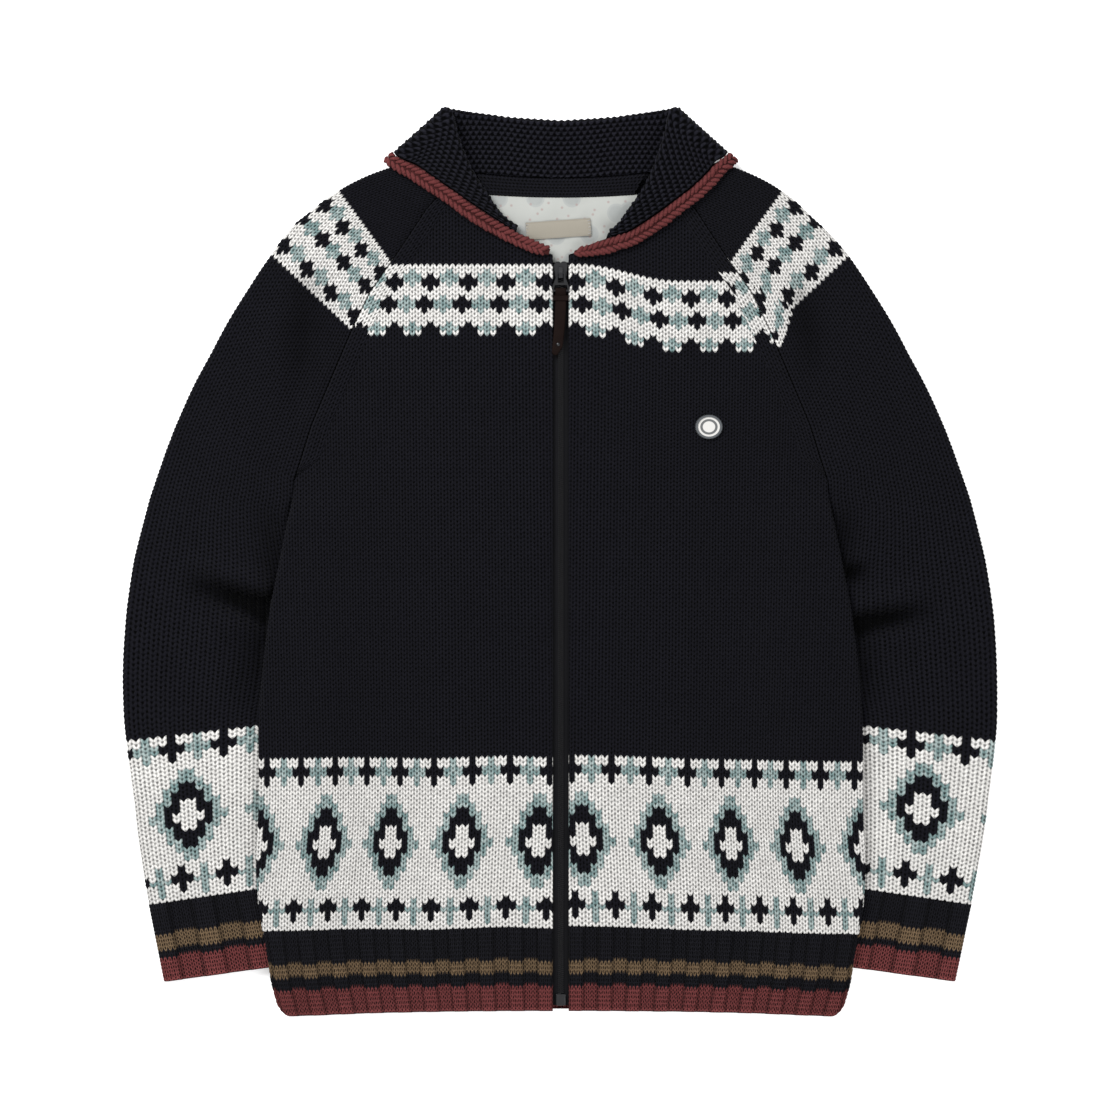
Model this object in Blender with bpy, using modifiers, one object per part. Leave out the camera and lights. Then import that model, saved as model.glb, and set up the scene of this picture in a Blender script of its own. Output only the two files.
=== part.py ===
"""A zip-front cowichan cardigan laid flat: a back, two fronts, two raglan sleeves, ribbed welts and
cuffs, a rolled garter-stitch collar with a trimmed edge, and a closed open-end zip with a leather pull.

Metres, +Z up from the surface it lies on, +Y towards the collar, +X the wearer's left. The origin is
in the middle of the underside. Every knitted piece is a wall lofted through rows of points, each
row worked out from the outlines below. The top layer is a front or the top half of a sleeve, the
bottom layer is the back or the lower half of a sleeve, and both turn up into the side folds."""

import math
from collections import namedtuple

import bmesh
import bpy
import numpy as np
from mathutils import Matrix

# Cloth
WALL = 0.0036  # thickness of the bulky knit
SEAM = 0.0003  # clearance between two pieces that are joined or lie on each other
LAYER_GAP = 0.0012  # air between the two layers at a side fold
TUBE = 2 * WALL + LAYER_GAP  # height of a flattened tube
FOLD = TUBE / 2  # outer radius of a side fold

# Softness of the upper layer
FRONT_PUFF = 0.0017
SLEEVE_PUFF = 0.0026
ZIP_RISE = 0.0018  # the fronts stand higher beside the zip, over its tape
ZIP_RISE_RUN = 0.030
PUFF_RUN_ZIP = 0.060  # distances over which the softness grows from the zip and from the side
PUFF_RUN_SIDE = 0.055
PUFF_NECK_Y = 0.215  # it fades out over PUFF_NECK_RUN above this level
PUFF_NECK_RUN = 0.040
UNEVEN_SHARE = 0.25
UNEVEN_X = 0.045
UNEVEN_Y = 0.070

# Body levels along Y
UNDERARM_Y = 0.0654
WELT_TOP_Y = -0.3010
WELT_BOTTOM_Y = -0.3645
EDGE_BOW = -0.0048  # how far the welt's edges dip from the zip to the sides
BOW_HALF_WIDTH = 0.240
BOW_TOP_Y = 0.050  # rows dip more and more below this level
BOW_RUN = 0.300
CURL_RUN = 0.030
ZIP_EDGE_X = 0.0065  # where a front ends beside the zip

# The body over the sleeves
LIFT = TUBE + 0.0008  # the body's sides lie on the sleeves' inner edges
LIFT_RUN = 0.075
LIFT_MARGIN = 0.005  # the lift is full this far before the sleeve's edge
LIFT_START = 0.038  # distance below the underarm over which the lift grows
LIFT_FADE_Y = -0.340
LIFT_FADE_RUN = 0.036
LIFT_FADE_SHARE = 0.55

# The back neck seam and its tape
BACK_NECK_Y = 0.3120
BACK_NECK_RISE = 0.0040
BACK_NECK_X = 0.068
BACK_DIP_Y = 0.240
NECK_TAPE_HALF = (0.0690, 0.0600)  # half its length at its upper and lower edge
NECK_TAPE_BOTTOM_Y = 0.2966
NECK_TAPE_BOTTOM_RISE = 0.0022
NECK_TAPE_STEPS = 14

# The collar's fall under the back neck
NECK_LIFT = WALL + 0.0010
TRIM_BACK_Y = 0.2945  # outer edge of the fall, on the underside at the middle of the back
TRIM_CORNER = (0.1425, 0.3227)
NECK_LIFT_RUN = 0.034
NECK_LIFT_MARGIN = 0.005

# Zip
ZIP_TOP_Y = 0.2435
TAPE_HALF_WIDTH = 0.0150
TAPE_THICKNESS = 0.0010
CHAIN_HALF_WIDTH = 0.0023
CHAIN_HEIGHT = 0.0018
CHAIN_TOP_GAP = 0.0020
STOP_LENGTH = 0.0090
STOP_RISE = 0.0004  # how far the bottom box stands above the chain
ZIP_END_GAP = 0.0005
METAL_BEVEL = 0.0004
STOP_HALF_WIDTH = 0.0038
TAPE_TOP_Z = TUBE + ZIP_RISE - WALL - SEAM
CHAIN_TOP_Z = TAPE_TOP_Z + SEAM + CHAIN_HEIGHT

# Slider and pull
SLIDER_TOP_Y = 0.2438
SLIDER_LENGTH = 0.0138
SLIDER_HALF_WIDTH = (0.0058, 0.0046)  # at its upper and lower end
SLIDER_PLATE = 0.0020
SLIDER_NOTCH = (0.0012, 0.0015)  # half width and depth between its shoulders
SLIDER_SHOULDER = (0.0020, 0.0025)
SLIDER_HEEL = 0.0015
CROWN_LENGTH = 0.0100
CROWN_WIDTH = 0.0030
CROWN_METAL = 0.0011
CROWN_ROOM = 0.0024  # clear height under the crown
CROWN_SPRING = 0.6  # share of that height at which its arch begins
CROWN_SINK = 0.0006  # how deep its feet are let into the plate
CROWN_SHIFT = 0.0004
CROWN_STEPS = 6
HINGE_Y = 0.2340
HINGE_Z = CHAIN_TOP_Z + SEAM + SLIDER_PLATE + CROWN_SPRING * CROWN_ROOM
PIN_RADIUS = 0.00065
LINK_LENGTH = 0.0150
LINK_HALF_WIDTH = (0.0038, 0.0075)
LINK_METAL = 0.0013
LINK_RIM = 0.0015
LINK_SHOULDER = 0.0030
LINK_HEEL = (0.0015, 0.0025)
LINK_WINDOW_END = 0.0075
LINK_BAR = 0.0016  # the link's lower bar, which the strap is folded round
LINK_SLOT = 0.0036
LINK_SLOT_RIM = (0.0027, 0.0020)  # beside the slot at its upper and lower end
LINK_BEVEL = 0.0002
TAB_WIDTH = 0.0086
STRAP_LAYER = 0.0011
STRAP_BEND = 0.0025  # length over which its two layers come together
STRAP_FOLD_SHARE = 0.55  # flat part of the fold at its top
TAB_END_Y = 0.1650
SLANT = (0.0098, -0.0059)  # the cut of its end, one strap's width to the left and to the right
CUTTER_SIZE = 0.020
KEEPER_WIDTH = 0.0123
KEEPER_LENGTH = 0.0042
KEEPER_BAND = 0.0008
KEEPER_BEVEL = 0.0003
PULL_SLOPE = 0.030  # how the pull falls from its hinge to its end

# Ribs of the welt and the cuffs
RIB_PERIOD = 0.0245
CUFF_RIB_PERIOD = 0.0283
RIB_HEIGHT = 0.0012
RIB_EDGES = (0.04, 0.46, 0.54, 0.96)  # where its flanks begin and end, as shares of the period
RIB_REST = 0.003  # no flank is closer than this to the fold
WELT_ROWS = (0.0, 0.33, 0.66, 1.0)

# Collar
ROLL = 0.0030  # radius of the collar's roll, at the middle of its wall
ROLL_SHARE = 0.05  # how much of the fall's width the roll's radius grows by, up to ROLL
CORNER_START_X = 0.045  # the stand rises to the corner's full height from here
CORNER_RUN = 0.045
CORNER_DEGREES = (60, 30, 0, -30, -60)
CORNER_OUT = (0.66, 0.75, 0.0)  # direction that the fall faces at the corner
COLLAR_GAP = 0.0005
STAND_SPREAD = 0.0036  # half the distance between the stand's layers at its top corner
TRIM_THICKNESS = 0.0042
# The trim's section: places across it, and its outer and inner bulge as shares of half its thickness
Swell = namedtuple("Swell", "across outer inner")
TRIM_SECTION = [
    Swell(0.00, 0.80, 0.80),
    Swell(0.35, 1.00, 0.90),
    Swell(0.75, 0.95, 0.90),
    Swell(1.00, 0.55, 0.50),
]

# Rows of the body below the underarm
BODY_ROWS = 9
UNDERARM_LEVELS = (0.0100, 0.0250, 0.0400, 0.0530)

# Places of the wall's columns across a row, as shares of its length up to the fold
FRONT_COLUMNS = (0, 0.07, 0.18, 0.32, 0.47, 0.62, 0.74, 0.82, 0.89, 0.95, 1)
BACK_COLUMNS = (0, 0.20, 0.40, 0.60, 0.74, 0.82, 0.89, 0.95, 1)
SLEEVE_COLUMNS = (0, 0.12, 0.26, 0.42, 0.58, 0.74, 0.88, 1)
FOLD_COLUMNS = 3
SLEEVE_FOLD_COLUMNS = 2  # at a sleeve's inner edge

# Neck tape, lining, label and badge
TAPE_RIDGES = 3
TAPE_NECK_THICKNESS = 0.0022
TAPE_VALLEY = 0.0013
LINING_THICKNESS = 0.0005
Lining = namedtuple("Lining", "y half_width")
LINING = [
    Lining(0.2320, 0.0160),
    Lining(0.2500, 0.0340),
    Lining(0.2620, 0.0500),
    Lining(0.2800, 0.0700),
    Lining(0.2985, 0.0820),
]
LINING_GRID = (8, 13)
LABEL_GRID = (5, 7)
LABEL_SIZE = (0.053, 0.014, 0.0006)
LABEL_CENTRE = (-0.0018, 0.2705)
LABEL_TURN = math.radians(4)
BADGE_SIZE = (0.0230, 0.0205, 0.0022)
BADGE_CENTRE = (0.121, 0.1087)
BADGE_FACE = 0.6  # height of its face inside the rim, as a share of the rim's
BADGE_SIDES = 24

NAVY = (0.012, 0.013, 0.022, 1)
WHITE = (0.72, 0.71, 0.68, 1)
BURGUNDY = (0.16, 0.035, 0.032, 1)
BEIGE = (0.52, 0.42, 0.29, 1)
BLACK = (0.008, 0.008, 0.009, 1)
GUNMETAL = (0.20, 0.20, 0.20, 1)
LEATHER = (0.035, 0.012, 0.008, 1)
BADGE_GREY = (0.10, 0.11, 0.12, 1)

# Half width of the body at its side fold, down from the underarm
Side = namedtuple("Side", "y x")
SIDES = [
    Side(-0.3700, 0.2290),
    Side(-0.3430, 0.2362),
    Side(-0.3060, 0.2420),
    Side(-0.2780, 0.2465),
    Side(-0.2290, 0.2496),
    Side(-0.1550, 0.2490),
    Side(-0.1310, 0.2467),
    Side(-0.0760, 0.2415),
    Side(-0.0350, 0.2360),
    Side(0.0025, 0.2284),
    Side(0.0490, 0.2190),
    Side(0.0654, 0.2179),
]

# A sleeve, from the neck to the top of the cuff. Each row crosses it from its inner edge to its outer
# fold. Above the underarm the inner edge is the raglan seam: inner on the top layer, back_x and back_y
# on the bottom one.
Row = namedtuple("Row", "inner_x inner_y outer_x outer_y back_x back_y")
SLEEVE = [
    Row(0.0900, 0.3060, 0.0985, 0.3190, 0.0760, 0.3168),
    Row(0.0990, 0.2980, 0.1200, 0.3210, 0.0880, 0.3030),
    Row(0.1105, 0.2860, 0.1390, 0.3185, 0.1010, 0.2880),
    Row(0.1387, 0.2435, 0.1804, 0.3007, 0.1330, 0.2435),
    Row(0.1560, 0.2190, 0.2073, 0.2737, 0.1520, 0.2190),
    Row(0.1710, 0.1880, 0.2335, 0.2467, 0.1680, 0.1880),
    Row(0.1885, 0.1470, 0.2680, 0.2000, 0.1860, 0.1470),
    Row(0.2040, 0.1100, 0.2955, 0.1530, 0.2025, 0.1100),
    Row(0.2179, 0.0654, 0.3165, 0.1070, 0.2179, 0.0654),
    Row(0.2218, 0.0350, 0.3260, 0.0760, 0.2218, 0.0350),
    Row(0.2170, 0.0050, 0.3335, 0.0470, 0.2170, 0.0050),
    Row(0.2100, -0.0250, 0.3405, 0.0180, 0.2100, -0.0250),
    Row(0.2065, -0.0520, 0.3465, -0.0110, 0.2065, -0.0520),
    Row(0.2055, -0.0750, 0.3515, -0.0450, 0.2055, -0.0750),
    Row(0.2075, -0.0960, 0.3547, -0.0820, 0.2075, -0.0960),
    Row(0.2120, -0.1150, 0.3555, -0.1160, 0.2120, -0.1150),
    Row(0.2160, -0.1320, 0.3541, -0.1479, 0.2160, -0.1320),
    Row(0.2210, -0.2000, 0.3460, -0.2170, 0.2210, -0.2000),
    Row(0.2240, -0.2657, 0.3345, -0.2819, 0.2240, -0.2657),
]
UNDERARM_ROW = 8
NECK_ROW = 4  # the neck's lift has ended at this row
# Places of the sleeve's rows of points: closer together under the collar, at the underarm and the elbow
SLEEVE_PLACES = (0, 1, 1.5, 2, 2.5, 3, 3.5, *range(4, 9), 8.5, *range(9, 12), 11.5, 12, 12.5, *range(13, 19))
CUFF_TOP = (SLEEVE[-1].inner_x, SLEEVE[-1].inner_y, SLEEVE[-1].outer_x, SLEEVE[-1].outer_y)
CUFF_BOTTOM = (0.2220, -0.3310, 0.3213, -0.3446)
CUFF_WIDTH = 0.110
PUFF_FIRST_ROW = 2.2  # a sleeve is flat under the collar and at the cuff, and full between
PUFF_FIRST_RUN = 1.8
PUFF_LAST_RUN = 1.2
BODY_MARGIN = 0.004  # softness and creases start this far beyond the body's side
BODY_RUN = 0.030
CREASE_RUN = 0.014
CREASE_TAPER = 0.35  # share of a crease's length over which it keeps its depth

# Creases at the elbows, in plan from start to end, on one side each (1 the wearer's left). A positive
# height is a ridge and a negative one a trough.
Crease = namedtuple("Crease", "side x0 y0 x1 y1 half_width height")
CREASES = [
    Crease(-1, 0.2320, -0.0450, 0.3000, -0.0190, 0.0080, -0.0060),
    Crease(-1, 0.2400, -0.0200, 0.3000, 0.0040, 0.0150, 0.0030),
    Crease(-1, 0.2400, -0.0660, 0.3050, -0.0470, 0.0170, 0.0034),
    Crease(1, 0.2340, -0.0550, 0.3090, -0.0410, 0.0080, -0.0060),
    Crease(1, 0.2420, -0.0320, 0.3050, -0.0180, 0.0130, 0.0030),
    Crease(1, 0.2420, -0.0780, 0.3100, -0.0660, 0.0170, 0.0034),
    Crease(1, 0.2280, -0.0125, 0.2560, -0.0090, 0.0060, -0.0025),
]

# The front neckline from the zip to the raglan seam
Neck = namedtuple("Neck", "x y")
NECKLINE = [
    Neck(0.0065, 0.2495),
    Neck(0.0200, 0.2530),
    Neck(0.0320, 0.2585),
    Neck(0.0430, 0.2655),
    Neck(0.0540, 0.2750),
    Neck(0.0630, 0.2850),
    Neck(0.0720, 0.2960),
    Neck(0.0830, 0.3025),
]
FRONT_NECK_PLACES = (4.0, 3.5, 3.0, 2.5, 2.0, 1.5, 1.0, 0.5)  # and where its rows meet the raglan
BACK_NECK_PLACES = (4, 3.5, 3, 2.75, 2.5, 2.25, 2, 1.67, 1.33, 1, 0.67, 0.33, 0)

# The collar in plan, from near the zip to the corner of the neck: its neck seam, its roll, the edge
# of the fall and the outer edge of the trim. The last row is at the corner.
Station = namedtuple("Station", "seam_x seam_y roll_x roll_y edge_x edge_y trim_x trim_y")
COLLAR_WEARERS_RIGHT = [
    Station(0.0370, 0.2622, 0.0352, 0.2737, 0.0410, 0.2702, 0.0448, 0.2598),
    Station(0.0430, 0.2655, 0.0420, 0.2778, 0.0485, 0.2752, 0.0520, 0.2630),
    Station(0.0540, 0.2750, 0.0510, 0.2870, 0.0610, 0.2832, 0.0660, 0.2707),
    Station(0.0630, 0.2850, 0.0585, 0.2985, 0.0745, 0.2922, 0.0800, 0.2797),
    Station(0.0720, 0.2960, 0.0660, 0.3090, 0.0880, 0.3017, 0.0950, 0.2910),
    Station(0.0830, 0.3025, 0.0750, 0.3255, 0.1040, 0.3127, 0.1110, 0.3012),
    Station(0.0900, 0.3060, 0.0835, 0.3480, 0.1180, 0.3222, 0.1255, 0.3110),
    Station(0.0955, 0.3150, 0.0880, 0.3625, 0.1260, 0.3255, 0.1330, 0.3155),
]
COLLAR_WEARERS_LEFT = [
    Station(0.0370, 0.2622, 0.0400, 0.2702, 0.0452, 0.2650, 0.0497, 0.2528),
    Station(0.0430, 0.2655, 0.0460, 0.2745, 0.0530, 0.2672, 0.0580, 0.2552),
    Station(0.0540, 0.2750, 0.0530, 0.2840, 0.0660, 0.2745, 0.0710, 0.2622),
    Station(0.0630, 0.2850, 0.0600, 0.2940, 0.0790, 0.2832, 0.0845, 0.2712),
    Station(0.0720, 0.2960, 0.0680, 0.3060, 0.0920, 0.2927, 0.0980, 0.2820),
    Station(0.0830, 0.3025, 0.0760, 0.3235, 0.1070, 0.3042, 0.1135, 0.2935),
    Station(0.0900, 0.3060, 0.0840, 0.3480, 0.1195, 0.3162, 0.1270, 0.3060),
    Station(0.0955, 0.3150, 0.0880, 0.3625, 0.1265, 0.3240, 0.1335, 0.3135),
]
COLLAR_CORNER = Station(0.0965, 0.3193, 0.0880, 0.3639, 0.1310, 0.3265, 0.1380, 0.3185)
COLLAR_BACK = [
    Station(0.0760, 0.3172, 0.0760, 0.3672, 0.0960, 0.3165, 0.1030, 0.3090),
    Station(0.0500, 0.3142, 0.0500, 0.3652, 0.0560, 0.3090, 0.0580, 0.2992),
    Station(0.0250, 0.3126, 0.0250, 0.3622, 0.0270, 0.3055, 0.0275, 0.2957),
    Station(0.0000, 0.3120, 0.0000, 0.3610, 0.0000, 0.3045, 0.0000, 0.2945),
]
# The trim's inner and outer edge in front of the collar, where the trim goes on alone to the zip
TRIM_FRONT_END = {
    -1: [
        (0.0085, 0.2540, 0.0100, 0.2485),
        (0.0200, 0.2600, 0.0225, 0.2500),
        (0.0300, 0.2652, 0.0330, 0.2542),
    ],
    1: [
        (0.0110, 0.2525, 0.0120, 0.2480),
        (0.0240, 0.2580, 0.0270, 0.2480),
        (0.0360, 0.2625, 0.0390, 0.2492),
    ],
}


# Curves and surfaces


def smooth(share):
    """0 below 0, 1 above 1 and an S-curve between."""
    share = min(max(share, 0.0), 1.0)
    return share * share * (3 - 2 * share)


def between(table, place):
    """A point on the smooth curve through the rows of a table, where place 0 is the first row."""
    rows = np.array(table, float)
    index = min(int(place), len(rows) - 2)
    share = place - index
    before, after = rows[max(index - 1, 0)], rows[min(index + 2, len(rows) - 1)]
    start, end = rows[index], rows[index + 1]
    leaving, arriving = (end - before) / 2, (after - start) / 2
    return (
        (2 * share**3 - 3 * share**2 + 1) * start
        + (share**3 - 2 * share**2 + share) * leaving
        + (3 * share**2 - 2 * share**3) * end
        + (share**3 - share**2) * arriving
    )


def seam_point(place, layer):
    """A point of the raglan seam, straight between the sleeve's rows: layer 0 is the top one."""
    index = min(int(place), len(SLEEVE) - 2)
    share = place - index
    first = np.array(SLEEVE[index])[4 * layer : 4 * layer + 2]
    second = np.array(SLEEVE[index + 1])[4 * layer : 4 * layer + 2]
    return first + (second - first) * share


def read(xs, ys, x):
    """Straight interpolation in a table whose xs rise."""
    return float(np.interp(x, xs, ys))


def side_x(y):
    return read([row.y for row in SIDES], [row.x for row in SIDES], y)


def sleeve_inner_x(y):
    """The inner edge of a sleeve and its cuff under the body."""
    rows = [(row.inner_y, row.inner_x) for row in SLEEVE[UNDERARM_ROW:]]
    rows.append((CUFF_BOTTOM[1], CUFF_BOTTOM[0]))
    rows.reverse()
    return read([row[0] for row in rows], [row[1] for row in rows], y)


def bow(x):
    return EDGE_BOW * min(abs(x) / BOW_HALF_WIDTH, 1.05) ** 2


def side_lift(x, y):
    """How far the body is raised where it lies over a sleeve's inner edge."""
    if y > UNDERARM_Y:
        return 0.0
    across = smooth((abs(x) - sleeve_inner_x(y) + LIFT_RUN) / (LIFT_RUN - LIFT_MARGIN))
    along = smooth((UNDERARM_Y - y) / LIFT_START)
    fade = 1 - LIFT_FADE_SHARE * smooth((LIFT_FADE_Y - y) / LIFT_FADE_RUN)
    return LIFT * across * along * fade


def neck_lift(x, y):
    """How far the neck is raised by the collar's fall, which lies under it at the back."""
    depth = TRIM_CORNER[1] - TRIM_BACK_Y
    fall_y = TRIM_BACK_Y + depth * (x / TRIM_CORNER[0]) ** 2
    return NECK_LIFT * smooth((y - fall_y + NECK_LIFT_RUN + NECK_LIFT_MARGIN) / NECK_LIFT_RUN)


def base(x, y):
    """The lowest surface of the body and of the sleeves above the underarm."""
    return max(side_lift(x, y), neck_lift(x, y))


def front_edge_x(y):
    """The outer edge of a front: its side fold, or its raglan seam above the underarm."""
    if y <= UNDERARM_Y:
        return side_x(y)
    rows = SLEEVE[UNDERARM_ROW::-1]
    return read([row.inner_y for row in rows], [row.inner_x for row in rows], y)


def front_height(x, y):
    """Height of the front's outer surface over the lowest one."""
    x = abs(x)
    over_tape = ZIP_RISE * math.exp(-((max(x - ZIP_EDGE_X, 0) / ZIP_RISE_RUN) ** 2))
    inside = smooth(x / PUFF_RUN_ZIP) * smooth((front_edge_x(y) - x) / PUFF_RUN_SIDE)
    below_neck = 1 - smooth((y - PUFF_NECK_Y) / PUFF_NECK_RUN)
    uneven = 1 + UNEVEN_SHARE * math.sin(y / UNEVEN_Y) * math.cos(x / UNEVEN_X)
    return TUBE + over_tape + FRONT_PUFF * inside * below_neck * uneven


def crease_height(side, x, y):
    """The elbow's ridges and troughs, which end at the edge of the body."""
    height = 0.0
    for crease in CREASES:
        if crease.side != side:
            continue
        run = np.array([crease.x1 - crease.x0, crease.y1 - crease.y0])
        away = np.array([x - crease.x0, y - crease.y0])
        share = float(away @ run / (run @ run))
        nearest = run * min(max(share, 0), 1)
        distance = float(np.linalg.norm(away - nearest))
        taper = 1 - smooth((share - CREASE_TAPER) / (1 - CREASE_TAPER))
        height += crease.height * taper * math.exp(-((distance / crease.half_width) ** 2))
    return height * smooth((x - side_x(y) - BODY_MARGIN) / CREASE_RUN)


def tube_height(side, share, place, x, y):
    """Height of the upper surface of a sleeve, or of a cuff, whose place is past the last row.

    share runs from its inner edge to its outer fold.
    """
    if place > len(SLEEVE) - 1:
        return TUBE - RIB_HEIGHT / 2
    full = smooth((place - PUFF_FIRST_ROW) / PUFF_FIRST_RUN)
    full *= smooth((len(SLEEVE) - 1 - place) / PUFF_LAST_RUN)
    under_body = 1.0
    if place > UNDERARM_ROW:
        under_body = smooth((x - side_x(y) - BODY_MARGIN) / BODY_RUN)
    puff = SLEEVE_PUFF * math.sin(math.pi * share) ** 2 * full * under_body
    creases = crease_height(side, x, y) if place > UNDERARM_ROW else 0.0
    return max(TUBE + puff + creases, 2 * WALL + SEAM)


def top_surface(x, y):
    """The upper surface under the collar's fall, where fronts and sleeves have the same height."""
    return base(x, y) + front_height(x, y)


# Rows of wall points: each function returns the outer and the inner points of one row


def fold_samples(count, curl):
    """Offsets along and up from the middle of a fold, for its outer and inner wall points.

    curl 0 goes straight on at the wall's level, and curl 1 turns a quarter circle to mid level.
    """
    samples = []
    for step in range(1, count + 1):
        share = step / count
        angle = math.pi / 2 * (1 - share)
        pair = []
        for radius in (FOLD, FOLD - WALL):
            straight = np.array([FOLD * share, radius])
            lift = SEAM / 2 + (radius - SEAM / 2) * math.sin(angle)
            turned = np.array([radius * math.cos(angle), lift])
            pair.append((1 - curl) * straight + curl * turned)
        samples.append(pair)
    return samples


def body_row(start, end, curl, columns, top, warp):
    """One row of a front (top) or of half a back, from start to the fold or seam at end.

    warp moves a point of the straight row to its place in plan.
    """
    start, end = np.array(start), np.array(end)
    length = float(np.linalg.norm(end - start))
    along = (end - start) / length
    outer, inner = [], []
    for share in columns:
        x, y = warp(*(start + along * (length - FOLD) * share))
        floor = base(x, y)
        level = floor + front_height(x, y) if top else floor
        outer.append((x, y, level))
        inner.append((x, y, level - WALL if top else level + WALL))
    centre = start + along * (length - FOLD)
    up = 1 if top else -1
    for outside, inside in fold_samples(FOLD_COLUMNS, curl):
        for found, (reach, rise) in ((outer, outside), (inner, inside)):
            x, y = warp(*(centre + along * reach))
            found.append((x, y, base(x, y) + FOLD + up * rise))
    return outer, inner


def mirrored(rows, side):
    """Rows of points for the wearer's left (side 1) or right (side -1)."""
    points = np.array(rows, float)
    points[..., 0] *= side
    return points


# Meshes


def material(name, colour, roughness=0.9, metallic=0.0):
    found = bpy.data.materials.get(name)
    if found:
        return found
    made = bpy.data.materials.new(name)
    made.use_nodes = True
    shader = made.node_tree.nodes["Principled BSDF"]
    shader.inputs["Base Color"].default_value = colour
    shader.inputs["Roughness"].default_value = roughness
    shader.inputs["Metallic"].default_value = metallic
    return made


def add_object(name, mesh, finish):
    made = bpy.data.objects.new(name, mesh)
    mesh.materials.append(finish)
    bpy.data.collections["cowichan_cardigan"].objects.link(made)
    return made


def add_wall(name, outer, inner, finish):
    """A closed wall between two grids of points of the same shape."""
    outer, inner = np.array(outer, float), np.array(inner, float)
    rows, columns = outer.shape[:2]
    mesh = bpy.data.meshes.new(name)
    shell = bmesh.new()
    sheets = []
    for grid in (outer, inner):
        sheets.append([[shell.verts.new(point) for point in row] for row in grid])
    out, within = sheets
    for i in range(rows - 1):
        for j in range(columns - 1):
            shell.faces.new((out[i][j], out[i][j + 1], out[i + 1][j + 1], out[i + 1][j]))
            shell.faces.new((within[i][j], within[i + 1][j], within[i + 1][j + 1], within[i][j + 1]))
    for i in range(rows - 1):
        for j in (0, columns - 1):
            shell.faces.new((out[i][j], out[i + 1][j], within[i + 1][j], within[i][j]))
    for j in range(columns - 1):
        for i in (0, rows - 1):
            shell.faces.new((out[i][j], out[i][j + 1], within[i][j + 1], within[i][j]))
    bmesh.ops.recalc_face_normals(shell, faces=shell.faces)
    shell.to_mesh(mesh)
    shell.free()
    made = add_object(name, mesh, finish)
    mesh.shade_smooth()
    mesh.set_sharp_from_angle(angle=math.radians(40))
    return made


def add_outline(name, points, bottom, thickness, finish, holes=(), bevel=0.0):
    """A flat piece: a filled 2D curve extruded by half its thickness each way."""
    curve = bpy.data.curves.new(name, "CURVE")
    curve.dimensions = "2D"
    curve.fill_mode = "BOTH"
    curve.extrude = thickness / 2 - bevel
    curve.bevel_depth = bevel
    curve.bevel_resolution = 0
    curve.offset = -bevel
    for loop in (points, *holes):
        spline = curve.splines.new("POLY")
        spline.points.add(len(loop) - 1)
        for place, (x, y) in zip(spline.points, loop):
            place.co = (x, y, 0, 1)
        spline.use_cyclic_u = True
    made = add_object(name, curve, finish)
    made.location.z = bottom + thickness / 2
    return made


def add_box(name, low, high, finish, bevel=0.0):
    """A cube primitive between two corners, with its scale applied and its edges bevelled."""
    low, high = np.array(low), np.array(high)
    bpy.ops.mesh.primitive_cube_add(size=1, location=(low + high) / 2)
    made = bpy.context.object
    made.name = made.data.name = name
    made.data.transform(Matrix.Diagonal((*(high - low), 1)))
    made.data.materials.append(finish)
    for collection in list(made.users_collection):
        collection.objects.unlink(made)
    bpy.data.collections["cowichan_cardigan"].objects.link(made)
    if bevel:
        edge = made.modifiers.new("rounded edges", "BEVEL")
        edge.width = bevel
        edge.segments = 2
    return made


# The body


def body_levels():
    """The rows that fronts and back share from the welt to the underarm."""
    lower = np.linspace(WELT_TOP_Y, UNDERARM_LEVELS[0], BODY_ROWS)
    return [*lower, *UNDERARM_LEVELS[1:], UNDERARM_Y]


def row_curl(y):
    """The sides turn into the folds below the underarm."""
    return smooth((UNDERARM_Y - y) / CURL_RUN)


def bowed(row_y):
    """A warp that lets the lower rows dip towards the sides, as the welt does."""
    share = smooth((BOW_TOP_Y - row_y) / BOW_RUN)
    return lambda x, y: (x, y + bow(x) * share)


def add_front(side):
    """A front, from the welt to the neck, its side turned down into the fold."""
    outer, inner = [], []

    def add_row(start, end, curl, warp):
        out, within = body_row(start, end, curl, FRONT_COLUMNS, True, warp)
        outer.append(out)
        inner.append(within)

    for y in body_levels():
        level = y + SEAM / 2 if y == WELT_TOP_Y else y
        add_row((ZIP_EDGE_X, level), (side_x(level), level), row_curl(y), bowed(y))
    for place in (7, 6, 5, 4.5):
        seam = seam_point(place, 0)
        add_row((ZIP_EDGE_X, seam[1]), seam, 0, bowed(seam[1]))
    for neck, place in zip(NECKLINE, FRONT_NECK_PLACES):
        seam = seam_point(place, 0)
        add_row(neck, seam, 0, bowed(seam[1]))
    name = "front_left" if side > 0 else "front_right"
    add_wall(name, mirrored(outer, side), mirrored(inner, side), material("navy knit", NAVY))


def add_back():
    """The back, in one piece, its sides turned up into the folds and its neck slightly raised."""
    outer, inner = [], []
    rows = [(y, side_x(y), row_curl(y)) for y in body_levels()]
    for place in (7, 6, 5, *BACK_NECK_PLACES):
        back_x, back_y = seam_point(place, 1)
        rows.append((back_y, back_x, 0))
    top_y = rows[-1][0]

    def warp_of(row_y):
        dip = smooth((row_y - BACK_DIP_Y) / (top_y - BACK_DIP_Y))
        bend = bowed(row_y)
        return lambda x, y: bend(x, y - dip * (top_y - back_neck_y(x)))

    for y, edge, curl in rows:
        level = y + SEAM / 2 if y == WELT_TOP_Y else y
        halves = body_row((0, level), (edge, level), curl, BACK_COLUMNS, False, warp_of(y))
        for found, half in zip((outer, inner), halves):
            found.append(both_halves(half))
    add_wall("back_panel", outer, inner, material("navy knit", NAVY))


def both_halves(half):
    """A row across the whole back, from the half that starts at the middle."""
    mirrored = [(-x, y, z) for x, y, z in half[:0:-1]]
    return mirrored + half


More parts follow.
